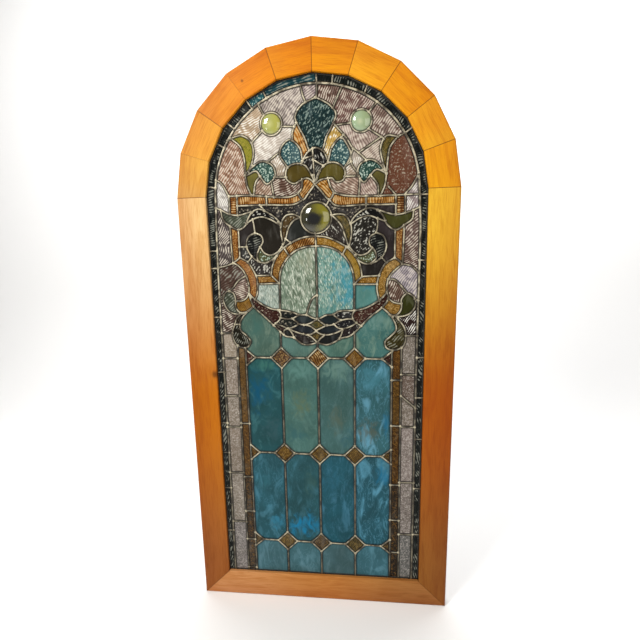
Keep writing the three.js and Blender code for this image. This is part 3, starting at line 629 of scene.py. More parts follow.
class Panel:
    """What every piece of glass is cut from."""

    def __init__(self):
        self.lines, self.joints = lead_lines()
        self.clear = came_distance(self.lines)
        self.depth = inside_panel()
        numbers = numbered_pieces((self.clear > OPEN) & (self.depth > 0))
        areas = np.bincount(numbers.ravel())
        self.solder = []
        for number in np.flatnonzero(areas[1:]) + 1:
            if areas[number] < SOLDER_AREA:
                rows, columns = np.nonzero(numbers == number)
                self.solder.append((columns.mean() + GRID_LEFT, rows.mean() + GRID_LOW, areas[number]))
                numbers[numbers == number] = -1
        self.numbers = spread(numbers, self.clear)
        self.order = [n for n in range(1, len(areas)) if areas[n] >= SOLDER_AREA]

    def number_at(self, x, z):
        """The number of the piece of glass at a place."""
        return self.numbers[round(z) - GRID_LOW, round(x) - GRID_LEFT]

    def centre(self, number):
        """The middle of a piece of glass."""
        rows, columns = np.nonzero((self.numbers == number) & (self.clear > 0))
        return columns.mean() + GRID_LEFT, rows.mean() + GRID_LOW


# Relief of the glass: heights from 0 to 1 over the plane, by kind.


def ripple(x, z, size, angle, seed):
    """Drawn ripples: close wavy ridges, broken into beads along their length."""
    along, across = turned(x, z, angle)
    bend = noise(x, z, size * 6, seed) * 0.8 + noise(x, z, size * 2.2, seed + 1) * 0.3
    ridge = np.cos(2 * math.pi * (across / size + bend))
    beads = noise(along, across * 0.6, size * 1.2, seed + 2)
    return 0.5 + 0.3 * ridge + 0.36 * beads


def hammered(x, z, size, angle, seed):
    """Round dimples side by side."""
    along, across = turned(x, z, angle)
    row = np.floor(across / size)
    shift = lattice_random(row, 0, seed)
    wave = np.cos(2 * math.pi * (along / size + shift)) * np.cos(2 * math.pi * across / size)
    return 0.5 + 0.34 * wave + 0.24 * noise(x, z, size * 0.7, seed + 1)


def granite(x, z, size, angle, seed):
    """Fine sharp grit."""
    fine = noise(x, z, size * 0.55, seed)
    coarse = noise(x + 11, z, size, seed + 1)
    return 0.5 + 0.45 * np.sign(fine) * np.abs(fine) ** 0.7 * (0.6 + 0.4 * coarse)


def seedy(x, z, size, angle, seed):
    """Scattered blisters on a gently waved sheet."""
    column = np.floor(x / size)
    row = np.floor(z / size)
    height = np.zeros_like(np.asarray(x, float))
    for i in (-1, 0, 1):
        for k in (-1, 0, 1):
            cx = (column + i + lattice_random(column + i, row + k, seed)) * size
            cz = (row + k + lattice_random(column + i, row + k, seed + 1)) * size
            wide = size * (0.2 + 0.3 * lattice_random(column + i, row + k, seed + 2))
            off = np.hypot(x - cx, (z - cz) * 0.8) / wide
            height = np.maximum(height, np.clip(1 - off * off, 0, 1))
    return 0.15 + 0.75 * height + 0.1 * noise(x, z, size * 2, seed + 3)


def rain(x, z, size, angle, seed):
    """Short fine dashes that lie one way, thicker in some places."""
    along, across = turned(x, z, angle)
    dashes = noise(along * 0.42, across, size, seed)
    return 0.5 + 0.46 * dashes + 0.1 * noise(x, z, size * 7, seed + 1)


def waved(x, z, size, angle, seed):
    """Almost flat, with long waves."""
    along, across = turned(x, z, angle)
    return 0.5 + 0.5 * noise(along * 0.4, across, size, seed)


RELIEFS = {
    "ripple": ripple,
    "hammered": hammered,
    "granite": granite,
    "seedy": seedy,
    "rain": rain,
    "waved": waved,
}


def mesh_object(name, points, faces, smooth_faces):
    """A mesh from millimetre points, riding on the one body."""
    mesh = bpy.data.meshes.new(name)
    mesh.from_pydata((np.asarray(points, float) * MM).tolist(), [], faces)
    mesh.polygons.foreach_set("use_smooth", smooth_faces)
    mesh.update()
    piece = bpy.data.objects.new(name, mesh)
    bpy.context.scene.collection.objects.link(piece)
    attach(piece, "root")
    return piece


def point_value(piece, name, values):
    """Stores a number for each point, which the material reads."""
    attribute = piece.data.attributes.new(name, "FLOAT", "POINT")
    attribute.data.foreach_set("value", np.asarray(values, np.float32))


def glass_piece(name, panel, number, kind, seed):
    """One piece of glass with its relief on the front."""
    cutter = Cutter(panel, number, kind.step)
    points, faces, clear = cutter.run()
    x, z = points.T
    relief = RELIEFS[kind.relief](x, z, kind.size, kind.angle, seed)
    relief = np.clip(relief, 0, 1)
    fade = np.clip(clear / 1.5, 0, 1)
    y = GLASS_FRONT + 0.1 - kind.height * relief * fade
    front = np.stack([x, y, z], 1)
    more, source = closed_plate(faces, len(front))
    back = front[source]
    back[:, 1] = GLASS_BACK
    smooth_faces = [True] * len(faces) + [False] * len(more)
    piece = mesh_object(name, np.concatenate([front, back]), faces + more, smooth_faces)
    crest = np.concatenate([relief * fade, np.full(len(back), 0.4)])
    # Grime with painted shade along the lead, darkest at the came's edge.
    grime_and_shade = np.clip(1 - np.maximum(clear, 0) / kind.grime_and_shade, 0, 1)
    point_value(piece, "crest", crest)
    point_value(piece, "grime_and_shade", np.concatenate([grime_and_shade, np.zeros(len(back))]))
    piece.data.materials.append(glass_material(name, kind, seed))
    return piece


# Lead, solder and putty.


def thinned(points, tolerance):
    """Drops the points that a straight stretch passes within the tolerance of."""
    keep = {0, len(points) - 1}
    todo = [(0, len(points) - 1)]
    while todo:
        first, last = todo.pop()
        if last - first < 2:
            continue
        line = points[[first, last]]
        far = [nearest_on_line(points[i], line)[1] for i in range(first + 1, last)]
        if max(far) > tolerance:
            at = first + 1 + int(np.argmax(far))
            keep.add(at)
            todo += [(first, at), (at, last)]
    return points[sorted(keep)]


def stations(points, spacing):
    """The same line with its long stretches divided."""
    found = [points[0]]
    for a, b in zip(points[:-1], points[1:]):
        parts = max(1, math.ceil(np.linalg.norm(b - a) / spacing))
        found += [a + (b - a) * (k + 1) / parts for k in range(parts)]
    return np.array(found)


def hand_bent(points, amount, size, seed):
    """The small unevenness of soft lead, the same for every lead at a place."""
    x, z = points.T
    return points + amount * np.stack([noise(x, z, size, seed), noise(x, z, size, seed + 1)], 1)


def side_steps(points, closed):
    """The sideways step at each point that keeps a swept strip's width."""
    step = np.diff(points, axis=0)
    step /= np.maximum(1e-9, np.linalg.norm(step, axis=1))[:, None]
    side = np.stack([-step[:, 1], step[:, 0]], 1)
    before = np.concatenate([side[-1:] if closed else side[:1], side])
    after = np.concatenate([side, side[:1] if closed else side[-1:]])
    spread_by = np.maximum(0.35, 1 + (before * after).sum(1))
    return (before + after) / spread_by[:, None]


def swept(points, profile, closed=False):
    """A section swept along a line of [x, z] points.

    Its corners are [sideways, y], either one set for the whole line or a set for each point.
    """
    points = points[:-1] if closed else points
    ring = np.concatenate([points[-1:], points, points[:1]]) if closed else points
    side = side_steps(ring, False)
    side = side[1:-1] if closed else side
    sections = np.broadcast_to(profile, (len(points), *np.shape(profile)[-2:]))
    x = points[:, None, 0] + side[:, None, 0] * sections[:, :, 0]
    z = points[:, None, 1] + side[:, None, 1] * sections[:, :, 0]
    corners = np.stack([x, sections[:, :, 1], z], 2).reshape(-1, 3)
    around = sections.shape[1]
    count = len(points)
    faces = []
    for i in range(count if closed else count - 1):
        here = i * around
        there = (i + 1) % count * around
        for k in range(around):
            m = (k + 1) % around
            faces.append([here + k, there + k, there + m, here + m])
    if not closed:
        faces.append(list(range(around)))
        faces.append(list(range((count - 1) * around, count * around))[::-1])
    return corners, faces


BUTTON = 4.7  # radius of a solder button
BUTTON_GAP = 7  # joints nearer than this share one


def came_profile(width):
    """Section of a lead came: a rounded front flange, the heart, and a flatter back flange."""
    half = width / 2
    heart = 0.8
    return np.array([
        [-half, GLASS_FRONT],
        [-half + 0.5, CAME_FRONT + 0.6],
        [-half * 0.4, CAME_FRONT + 0.08],
        [half * 0.4, CAME_FRONT + 0.08],
        [half - 0.5, CAME_FRONT + 0.6],
        [half, GLASS_FRONT],
        [heart, GLASS_FRONT + 0.1],
        [heart, GLASS_BACK - 0.1],
        [half, GLASS_BACK],
        [half * 0.5, CAME_BACK - 0.2],
        [-half * 0.5, CAME_BACK - 0.2],
        [-half, GLASS_BACK],
        [-heart, GLASS_BACK - 0.1],
        [-heart, GLASS_FRONT + 0.1],
    ])


def solder_blob(x, z, radius, y, rise, seed):
    """A low uneven button of solder that bulges by rise from y."""
    sides = 10
    angles = np.arange(sides) * 2 * math.pi / sides
    uneven = 1 + 0.16 * noise(np.cos(angles) * 3 + x, np.sin(angles) * 3 + z, 2.0, seed)
    rings = []
    for share, height in ((1.0, 0.0), (0.62, 0.72)):
        px = x + radius * share * uneven * np.cos(angles)
        pz = z + radius * share * uneven * np.sin(angles)
        rings.append(np.stack([px, np.full(sides, y + rise * height), pz], 1))
    points = np.concatenate([*rings, [[x, y + rise, z]]])
    faces = []
    for k in range(sides):
        m = (k + 1) % sides
        faces.append([k, m, sides + m, sides + k])
        faces.append([sides + k, sides + m, 2 * sides])
    faces.append(list(range(sides))[::-1])
    if rise > 0:
        faces = [face[::-1] for face in faces]
    return points, faces


def gathered(parts):
    """Several (points, faces) as one."""
    points = []
    faces = []
    count = 0
    for part, part_faces in parts:
        points.append(part)
        faces += [[i + count for i in face] for face in part_faces]
        count += len(part)
    return np.concatenate(points), faces


def highlight_share(line):
    """How much of the pale painted highlight a lead gets at each point: little on the low upright ones,
    less on the other low ones beside the panes.
    """
    across, rise = np.abs(np.gradient(line, axis=0)).T
    x, z, radius = DULL_DOME
    low = (line[:, 1] < DULL_BELOW) | (np.hypot(line[:, 0] - x, line[:, 1] - z) < radius)
    beside = np.abs(line[:, 0]) > COLUMNS[-1]
    return np.where(low & (across < 0.2 * rise), 0.15, np.where(low & beside, 0.45, 1.0))


def came_lattice(panel):
    """All the lead of the panel, soldered into one lattice."""
    parts = []
    shine = []
    for line, width in panel.lines:
        closed = len(line) > 9 and np.allclose(line[0], line[-1])
        line = stations(thinned(line, tolerance=0.22), spacing=14)
        line = hand_bent(line, amount=0.35, size=24, seed=5)
        profile = came_profile(width)
        parts.append(swept(line, profile, closed))
        shine.append(np.repeat(highlight_share(line)[: len(line) - closed], len(profile)))
    spots = {}
    for x, z in panel.joints:
        near = (round(x / BUTTON_GAP), round(z / BUTTON_GAP))
        spots.setdefault(near, (x, z, BUTTON))
    fillings = [(x, z, 3.5 + math.sqrt(area / math.pi)) for x, z, area in panel.solder]
    for i, (x, z, radius) in enumerate([*spots.values(), *fillings]):
        size = radius * (0.9 + 0.3 * lattice_random(i, 3, 1))
        parts.append(solder_blob(x, z, size, CAME_FRONT + 0.9, -1.5, i))
        parts.append(solder_blob(x, z, size, CAME_BACK - 0.9, 1.2, i))
        # The solder gets the whole pale painted highlight.
        shine.append(np.ones(len(parts[-1][0]) + len(parts[-2][0])))
    points, faces = gathered(parts)
    piece = mesh_object("came_lattice", points, faces, [True] * len(faces))
    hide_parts("lead_came")
    point_value(piece, "highlight_share", np.concatenate(shine))
    piece.data.materials.append(lead_material())


def putty_and_shade_strip():
    """The dark bead of putty between the glass and the wood, dark enough to paint the shade of the rebate
    too.
    """
    corners = frame_corners(-0.3)
    line = stations(np.concatenate([corners, corners[:1]]), 9)
    x, z = line[:-1].T
    width = 4.2 + 0.7 * noise(x, z, 16, 21)
    crown = GLASS_FRONT - 1.5 - 0.4 * noise(x, z, 11, 22)
    foot = np.full(len(x), GLASS_FRONT - 0.1)
    sections = np.stack([
        np.stack([0 * width, foot], 1),
        np.stack([0 * width, crown], 1),
        np.stack([width * 0.55, crown + 0.25], 1),
        np.stack([width * 0.9, GLASS_FRONT - 0.7 + 0 * width], 1),
        np.stack([width, foot], 1),
    ], 1)
    points, faces = swept(line, sections, True)
    piece = mesh_object("putty_and_shade_strip", points, faces, [True] * len(faces))
    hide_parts("putty_bead")
    piece.data.materials.append(putty_and_shade_material())


def jewel(name, x, z, ring_radius):
    """A pressed jewel: a rim, then a dome as high as the CAD's."""
    radius = ring_radius - CAME / 2 + 0.9
    top = millimetres(name)[0].y
    sides = 64
    rings = 14
    profile = [(radius, GLASS_BACK), (radius, GLASS_FRONT)]
    for i in range(1, rings + 1):
        angle = math.pi / 2 * i / rings
        profile.append((radius * math.cos(angle), GLASS_FRONT + (top - GLASS_FRONT) * math.sin(angle)))
    points = []
    for across, y in profile[:-1]:
        for k in range(sides):
            angle = 2 * math.pi * k / sides
            points.append((x + across * math.cos(angle), y, z + across * math.sin(angle)))
    points.append((x, top, z))
    faces = []
    for i in range(len(profile) - 2):
        for k in range(sides):
            m = (k + 1) % sides
            a = i * sides
            b = a + sides
            faces.append([a + k, a + m, b + m, b + k])
    last = (len(profile) - 2) * sides
    faces += [[last + k, last + (k + 1) % sides, len(points) - 1] for k in range(sides)]
    faces.append(list(range(sides))[::-1])
    smooth_faces = [True] * (len(faces) - 1) + [False]
    piece = mesh_object(name + "_dome", points, faces, smooth_faces)
    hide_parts(name)
    piece.data.materials.append(jewel_material(name, x, z, radius))


# Materials.


PAINT = 0.64  # paint is held down by this, since the studio's light lifts it


def linear(colour):
    """The paint that looks like this sRGB colour, from 0 to 255, in the studio's light."""
    channels = [c / 255 for c in colour]
    channels = [c / 12.92 if c <= 0.04045 else ((c + 0.055) / 1.055) ** 2.4 for c in channels]
    return [c * PAINT for c in channels] + [1.0]


class Shader:
    """A material being wired up: inputs may be numbers, colours or other nodes' outputs."""

    def __init__(self, name):
        self.material = bpy.data.materials.new(name)
        self.material.use_nodes = True
        self.tree = self.material.node_tree
        self.tree.nodes.clear()
        self.surface = self.tree.nodes.new("ShaderNodeBsdfPrincipled")
        output = self.tree.nodes.new("ShaderNodeOutputMaterial")
        self.tree.links.new(self.surface.outputs[0], output.inputs["Surface"])
        self.place = self.add("ShaderNodeTexCoord").outputs["Object"]

    def feed(self, socket, value):
        """Links another node's output, or sets a plain value."""
        if isinstance(value, bpy.types.NodeSocket):
            self.tree.links.new(value, socket)
        else:
            socket.default_value = value

    def add(self, kind, inputs=None, **settings):
        """A new node with its inputs fed."""
        node = self.tree.nodes.new(kind)
        for key, value in settings.items():
            setattr(node, key, value)
        for key, value in (inputs or {}).items():
            self.feed(node.inputs[key], value)
        return node

    def set(self, **inputs):
        """Feeds the surface's inputs, named with underscores."""
        for key, value in inputs.items():
            self.feed(self.surface.inputs[key.replace("_", " ")], value)

    def math(self, operation, a, b=0.0):
        """Arithmetic on two numbers."""
        return self.add("ShaderNodeMath", {0: a, 1: b}, operation=operation).outputs[0]

    def between(self, value, low, high, to_low=0.0, to_high=1.0):
        """Maps low..high smoothly onto to_low..to_high."""
        inputs = {"Value": value, 1: low, 2: high, 3: to_low, 4: to_high}
        return self.add("ShaderNodeMapRange", inputs, interpolation_type="SMOOTHSTEP").outputs[0]

    def mix(self, factor, a, b, blend="MIX"):
        """Colour a at a factor of 0 and colour b at 1."""
        inputs = {0: factor, 6: a, 7: b}
        return self.add("ShaderNodeMix", inputs, data_type="RGBA", blend_type=blend).outputs[2]

    def multiply(self, factor, a, b):
        """Colour a at a factor of 0 and a times b at 1."""
        return self.mix(factor, a, (*b, 1), "MULTIPLY")

    def vector(self, operation, a, b):
        """Vector arithmetic: a number for a distance or dot product, else a vector."""
        node = self.add("ShaderNodeVectorMath", {0: a, 1: b}, operation=operation)
        return node.outputs["Value" if operation in ("DISTANCE", "DOT_PRODUCT") else "Vector"]

    def mapped(self, location=(0, 0, 0), rotation=0.0, scale=(1, 1, 1)):
        """Object coordinates turned about the depth axis by an angle in degrees, then scaled."""
        inputs = {"Location": location, "Rotation": (0, math.radians(rotation), 0)}
        turned_place = self.add("ShaderNodeMapping", {"Vector": self.place, **inputs}).outputs[0]
        return self.vector("MULTIPLY", turned_place, scale)

    def noise(self, place, scale, detail=3.0, distortion=0.0, roughness=0.5):
        """Smooth noise round 0.5 with this many lumps in a metre."""
        inputs = {
            "Vector": place, "Scale": scale, "Detail": detail,
            "Distortion": distortion, "Roughness": roughness,
        }
        return self.add("ShaderNodeTexNoise", inputs).outputs["Fac"]

    def value(self, name):
        """A number stored at the mesh's points."""
        return self.add("ShaderNodeAttribute", attribute_name=name).outputs["Fac"]

    def bump(self, height, strength, distance):
        """Shades the surface as if it had this relief."""
        inputs = {"Height": height, "Strength": strength, "Distance": distance}
        self.set(Normal=self.add("ShaderNodeBump", inputs).outputs[0])

    def off(self, x, z):
        """Distance in the plane from a point given in millimetres."""
        flat = self.vector("MULTIPLY", self.place, (1, 0, 1))
        return self.vector("DISTANCE", flat, (x * MM, 0, z * MM))

    def along(self, point, way):
        """How far the surface lies from a point in a direction of the plane."""
        step = self.vector("SUBTRACT", self.place, (point[0] * MM, 0, point[1] * MM))
        return self.vector("DOT_PRODUCT", step, (way[0], 0, way[1]))


def glass_material(name, kind, seed):
    """Coloured glass: streaks in the sheet, painted highlights on the crests, painted shade in the hollows,
    and grime with painted shade along the lead.
    """
    s = Shader("glass_" + name)
    shift = (0.37 * (seed % 13), 0.21 * (seed % 7), 0.43 * (seed % 11))
    streak_place = s.mapped(shift, 0, (kind.streak_stretch, 1, 1))
    streaks = s.noise(streak_place, kind.streak_scale, 4.0, kind.streak_twist, 0.55)
    light = s.between(streaks, 0.5, 0.7, 0.0, kind.streaks)
    colour = s.mix(light, linear(kind.base), linear(kind.light))
    if kind.wisps:
        curl = s.noise(streak_place, kind.streak_scale * 1.6, 3.0, 2.4)
        off_line = s.math("ABSOLUTE", s.math("SUBTRACT", curl, 0.5))
        colour = s.mix(s.between(off_line, 0.0, 0.035, kind.wisps, 0.0), colour, linear(kind.light))
    # Fine painted glints in the glint colour, with dark flecks.
    if kind.glints_and_flecks:
        glints_and_flecks = s.noise(s.mapped(shift, kind.spark_angle, (1, 1, kind.spark_shape)), 380.0, 1.0, 0.2)
        colour = s.multiply(s.between(glints_and_flecks, 0.5, 0.36, 0.0, kind.glints_and_flecks), colour, (0.5, 0.5, 0.46))
        colour = s.mix(s.between(glints_and_flecks, 0.56, 0.66, 0.0, kind.glints_and_flecks), colour, linear(kind.glint))
    shade = s.noise(s.mapped(shift), 13.0, 3.0)
    colour = s.multiply(s.between(shade, 0.35, 0.68, 0.0, kind.shade), colour, (0.55, 0.55, 0.5))
    for x, z, wide, tall, cloud in kind.clouds:
        place = s.mapped((0, 0, 0), 0, (1, 0, wide / tall))
        middle = (x * MM, 0, z * MM * wide / tall)
        far = s.vector("DISTANCE", place, middle)
        ragged = s.noise(s.mapped(shift, 0, (1.6, 1, 1)), 22.0, 5.0, 1.8)
        far = s.math("ADD", far, s.math("MULTIPLY", s.math("SUBTRACT", ragged, 0.5), wide * MM * 3.2))
        colour = s.mix(s.between(far, -0.2 * wide * MM, 1.1 * wide * MM, 0.85, 0.0), colour, linear(cloud))
    crest = s.value("crest")
    grit = s.noise(s.place, 300.0, 2.0)
    uneven = s.math("ADD", crest, s.math("MULTIPLY", s.math("SUBTRACT", grit, 0.5), 0.5))
    # Painted shade in the relief's hollows.
    hollow_shade = s.between(uneven, 0.46, 0.12, 0.0, kind.hollow_shade)
    colour = s.multiply(hollow_shade, colour, (0.26, 0.24, 0.2))
    # Painted highlights on the relief's crests, in the glint colour.
    crest_highlight = s.between(uneven, kind.crest_low, kind.crest_low + 0.16, 0.0, kind.crest)
    colour = s.mix(crest_highlight, colour, linear(kind.glint))
    # Grime with painted shade of the lead on the glass beside it.
    colour = s.mix(s.math("MULTIPLY", s.value("grime_and_shade"), 0.85), colour, linear((20, 17, 12)))
    fine = s.noise(s.place, 260.0, 3.0)
    s.set(
        Base_Color=colour,
        Roughness=s.between(fine, 0.3, 0.7, kind.rough, kind.rough + 0.12),
        IOR=1.5,
        Specular_IOR_Level=0.1,
    )
    s.bump(fine, 0.12, 0.0006)
    return s.material


def lead_material():
    """Old lead in dark and lighter patches, with fine dark specks; a pale painted highlight along the face
    and on the solder, and painted shade down the sides and over the back.
    """
    s = Shader("lead")
    patches = s.noise(s.place, 48.0, 4.0, 0.4)
    patches = s.between(patches, 0.36, 0.62)
    dull = s.mix(patches, linear((46, 41, 32)), linear((112, 105, 86)))
    # The pale colours are a painted highlight along the came's face.
    pale = s.mix(patches, linear((92, 82, 62)), linear((222, 212, 182)))
    colour = s.mix(s.value("highlight_share"), dull, pale)
    fine = s.noise(s.place, 420.0, 3.0)
    colour = s.multiply(s.between(fine, 0.3, 0.6, 0.6, 0.0), colour, (0.45, 0.42, 0.36))
    # Painted shade down the came's sides and over its back, so that the pale painted highlight stays on the
    # crest.
    depth = s.add("ShaderNodeSeparateXYZ", {0: s.place}).outputs["Y"]
    low = s.between(depth, (CAME_FRONT + 0.05) * MM, (CAME_FRONT + 0.5) * MM, 0.0, 0.94)
    colour = s.mix(low, colour, linear((22, 19, 15)))
    s.set(Base_Color=colour, Metallic=0.2, Roughness=s.between(fine, 0.3, 0.7, 0.36, 0.5))
    s.bump(s.noise(s.place, 170.0, 4.0), 0.35, 0.0008)
    return s.material


def putty_and_shade_material():
    """Dark glazing putty, matt and crumbly, its darkness also painting the shade of the rebate."""
    s = Shader("putty")
    crumbs = s.noise(s.place, 240.0, 4.0)
    s.set(Base_Color=s.mix(crumbs, linear((16, 14, 12)), linear((46, 40, 33))), Roughness=0.75)
    s.bump(crumbs, 0.5, 0.001)
    return s.material


def jewel_material(name, x, z, radius):
    """A glass jewel with painted light: a rim darkened with painted shade, and a body lighter to the right
    with a heart a little to the left, which paint how light falls through the dome.
    """
    rim, left, right, heart, heart_size = JEWELS[name]
    s = Shader(name)
    swirl = s.noise(s.place, 30.0, 2.0, 0.3)
    uneven = s.math("MULTIPLY", s.math("SUBTRACT", swirl, 0.5), 0.7)
    from_middle = s.math("DIVIDE", s.off(x, z), radius * MM)
    from_heart = s.math("DIVIDE", s.off(x - radius * 0.14, z - radius * 0.1), radius * MM)
    across = s.add("ShaderNodeSeparateXYZ", {0: s.place}).outputs["X"]
    across = s.math("ADD", across, s.math("MULTIPLY", uneven, radius * MM))
    # The body's change from left to right and its heart are painted light and shade of the dome.
    to_right = s.between(across, (x - radius * 0.4) * MM, (x + radius * 0.6) * MM)
    colour = s.mix(to_right, linear(left), linear(right))
    in_heart = s.between(s.math("ADD", from_heart, uneven), heart_size, heart_size + 0.5)
    colour = s.mix(in_heart, linear(heart), colour)
    # Painted shade round the rim.
    colour = s.mix(s.between(from_middle, 0.84, 0.99), colour, linear(rim))
    s.set(Base_Color=colour, Roughness=0.06, IOR=1.55, Coat_Weight=0.6, Coat_Roughness=0.03)
    s.bump(s.noise(s.place, 90.0, 2.0), 0.2, 0.001)
    return s.material


def wood_material(name, corner, tints_and_light, seed):
    """Oiled pine with its grain along the block, dark joints, here and there a knot, and tints along the
    block that paint in the fall of light.
    """
    s = Shader("pine_" + name)
    line = frame_corners(0)
    start = line[corner]
    end = line[(corner + 1) % len(line)]
    outer = frame_corners(RAIL)
    length = np.linalg.norm(end - start)
    angle = math.degrees(math.atan2(end[1] - start[1], end[0] - start[0]))
    shift = (0.61 * seed, 0.17 * seed, 0.29 * seed)
    grain_place = s.mapped(shift, angle, (1.1, 9, 9))
    bands = s.noise(grain_place, 5.5, 5.0, 0.8, 0.6)
    fibre_place = s.mapped(shift, angle, (1, 26, 26))
    fibres = s.noise(fibre_place, 22.0, 4.0)
    blotch = s.noise(s.mapped(shift), 6.0, 2.0)
    way = (end - start) / length
    along = s.along(start, way)
    # The tints carry painted light as well as the pine's tone: lighter or darker along the block as light
    # falls on the frame.
    start_tint, middle_tint, end_tint = map(linear, tints_and_light)
    half = length * MM / 2
    colour = s.mix(s.between(along, 0, half), start_tint, middle_tint)
    colour = s.mix(s.between(along, half, 2 * half), colour, end_tint)
    out = s.along(start, (way[1], -way[0]))
    colour = s.multiply(s.between(out, 0.1 * RAIL * MM, RAIL * MM, 0.0, 1.0), colour, (0.86, 0.76, 0.76))
    colour = s.multiply(s.between(bands, 0.44, 0.64, 0.0, 0.75), colour, (0.84, 0.72, 0.56))
    colour = s.multiply(s.between(fibres, 0.48, 0.66, 0.0, 0.75), colour, (0.82, 0.73, 0.58))
    colour = s.multiply(s.between(blotch, 0.45, 0.75, 0.0, 0.5), colour, (0.84, 0.76, 0.66))
    for joint in (corner, (corner + 1) % len(line)):
        near = line[joint]
        cut = (outer[joint] - near) / np.linalg.norm(outer[joint] - near)
        dark = 0.15 if joint in TIGHT_JOINTS else 0.75
        off = s.math("ABSOLUTE", s.along(near, (-cut[1], cut[0])))
        seam = s.between(off, 0.3 * MM, 1.7 * MM, dark, 0.0)
        colour = s.mix(seam, colour, linear((112, 62, 14)))
    for place, x, z, size, dark in KNOTS:
        if place == name:
            far = s.math("ADD", s.off(x, z), s.math("MULTIPLY", fibres, size * MM * 0.8))
            ring = s.between(far, size * MM * 0.5, size * MM * 1.3, dark, 0.0)
            colour = s.mix(ring, colour, linear((70, 34, 12)))
    s.set(
        Base_Color=colour,
        Roughness=s.between(bands, 0.3, 0.7, 0.36, 0.5),
        Specular_IOR_Level=0.12,
    )
    s.bump(s.math("ADD", bands, s.math("MULTIPLY", fibres, 0.5)), 0.18, 0.0008)
    return s.material


# Kinds of glass.


class Glass:
    """How one kind of glass looks. Sizes are millimetres, angles degrees, and the rest parts of one."""

    angle = 35  # of the relief
    step = 2  # between the points of the mesh
    grime_and_shade = 2.8  # reach of the grime and painted shade along the lead
    crest = 0.6  # brightness of the painted highlights on the relief's crests, which begin at crest_low; glint is their colour
    crest_low = 0.62
    glint = (225, 222, 212)
    hollow_shade = 0.6  # darkness of the painted shade in the relief's hollows
    streaks = 0.5  # streaks of the lighter colour, per metre and drawn out by streak_stretch
    streak_scale = 14.0
    streak_stretch = 3.0
    streak_twist = 0.6
    wisps = 0.0  # fine curls of the lighter colour
    glints_and_flecks = 0.0  # fine painted glints and dark flecks, longer upright the smaller spark_shape is
    spark_shape = 0.8
    spark_angle = 14
    shade = 0.45  # broad darker patches
    rough = 0.14

    def __init__(self, relief, size, height, **more):
        vars(self).update(more, relief=relief, size=size, height=height)

    def tinted(self, base, light=None, clouds=(), **more):
        """The same kind of glass in a colour of its own, with clouds of other colours."""
        light = light or tuple(c + (235 - c) * 0.3 for c in base)
        return Glass(**{**vars(self), **more}, base=base, light=light, clouds=clouds)


KINDS = {
    "opal": Glass("ripple", 6.5, 0.55, step=1, crest=0.75, glint=(232, 222, 204), hollow_shade=0.75),
    "opal_plain": Glass("ripple", 6, 0.4, step=1, crest=0.9, glint=(252, 250, 240), hollow_shade=0.42),
    "speckled": Glass("granite", 4.6, 0.55, crest=0.72, crest_low=0.58, glint=(184, 174, 152)),
    "dashed": Glass("rain", 2.4, 0.5, step=1, angle=65, crest=0.6, crest_low=0.6, glint=(160, 180, 170)),
    "sparkling": Glass("rain", 2.7, 0.5, step=1, crest=0.7, crest_low=0.64, glint=(222, 220, 206)),
    "rippled": Glass("ripple", 7.0, 0.6, crest=0.62, crest_low=0.66, glint=(168, 170, 156)),
    "seedy": Glass("seedy", 6.5, 0.5, crest=0.95, crest_low=0.44, glint=(184, 202, 188), hollow_shade=0.5),
    "plain": Glass("waved", 40, 0.25, step=3, crest=0.0, hollow_shade=0.0, streaks=0.45, shade=0.8),
    "amber": Glass("ripple", 6.5, 0.5, step=1, crest=0.75, glint=(222, 196, 142), hollow_shade=0.95),
    "amber_grain": Glass("granite", 4.5, 0.5, step=1, crest=0.6, crest_low=0.58, glint=(206, 170, 104),
                         hollow_shade=0.7, glints_and_flecks=0.45),
    "amber_plain": Glass("hammered", 7, 0.3, crest=0.4, crest_low=0.56, glint=(176, 142, 74),
                         hollow_shade=0.8, glints_and_flecks=0.25),
    "streaky": Glass("rain", 6, 0.35, angle=68, crest=0.15, crest_low=0.6, glint=(232, 236, 220),
                     hollow_shade=0.2, streaks=0.7, streak_scale=14.0, glints_and_flecks=0.85, spark_shape=0.2),
    "swirled": Glass("waved", 60, 0.4, step=5, grime_and_shade=4, crest=0.0, hollow_shade=0.0, streaks=1.0,
                     streak_scale=9.0, streak_stretch=2.6, streak_twist=1.4, wisps=0.45, rough=0.1,
                     shade=0.6),
    "mottled": Glass("waved", 60, 0.4, step=5, grime_and_shade=4, crest=0.0, hollow_shade=0.0, streaks=0.8,
                     streak_scale=26.0, streak_stretch=1.5, streak_twist=1.2, wisps=0.2, shade=0.5),
    "amber_strip": Glass("granite", 5.5, 0.5, crest=0.3, crest_low=0.58, glint=(150, 108, 48), hollow_shade=0.8,
                         glints_and_flecks=0.5, spark_shape=0.3, spark_angle=50),
    "frosty": Glass("hammered", 6, 0.4, crest=0.5, crest_low=0.58, glint=(214, 206, 198), hollow_shade=0.5,
                    streaks=0.3, streak_scale=40.0, glints_and_flecks=0.45),
}

JEWELS = {  # rim, left, right and heart, and the heart's size as a part of the radius; the dark rim is painted shade, and the left, right and heart colours paint how light falls through the dome
    "jewel_centre": ((40, 38, 12), (52, 50, 22), (140, 132, 14), (6, 6, 3), 0.24),
    "jewel_left": ((92, 92, 48), (176, 180, 104), (186, 184, 84), (206, 204, 132), 0.0),
    "jewel_right": ((84, 100, 76), (168, 190, 152), (160, 178, 132), (196, 206, 166), 0.0),
}

KNOTS = [  # block, x, z, size, darkness
    ["arch_block_7", -196, 1658, 7, 0.7],
    ["stile_left", -328, 802, 20, 0.75],
]

TIGHT_JOINTS = (9, 11)  # corners of the frame where the joint hardly shows, counted from the bottom left

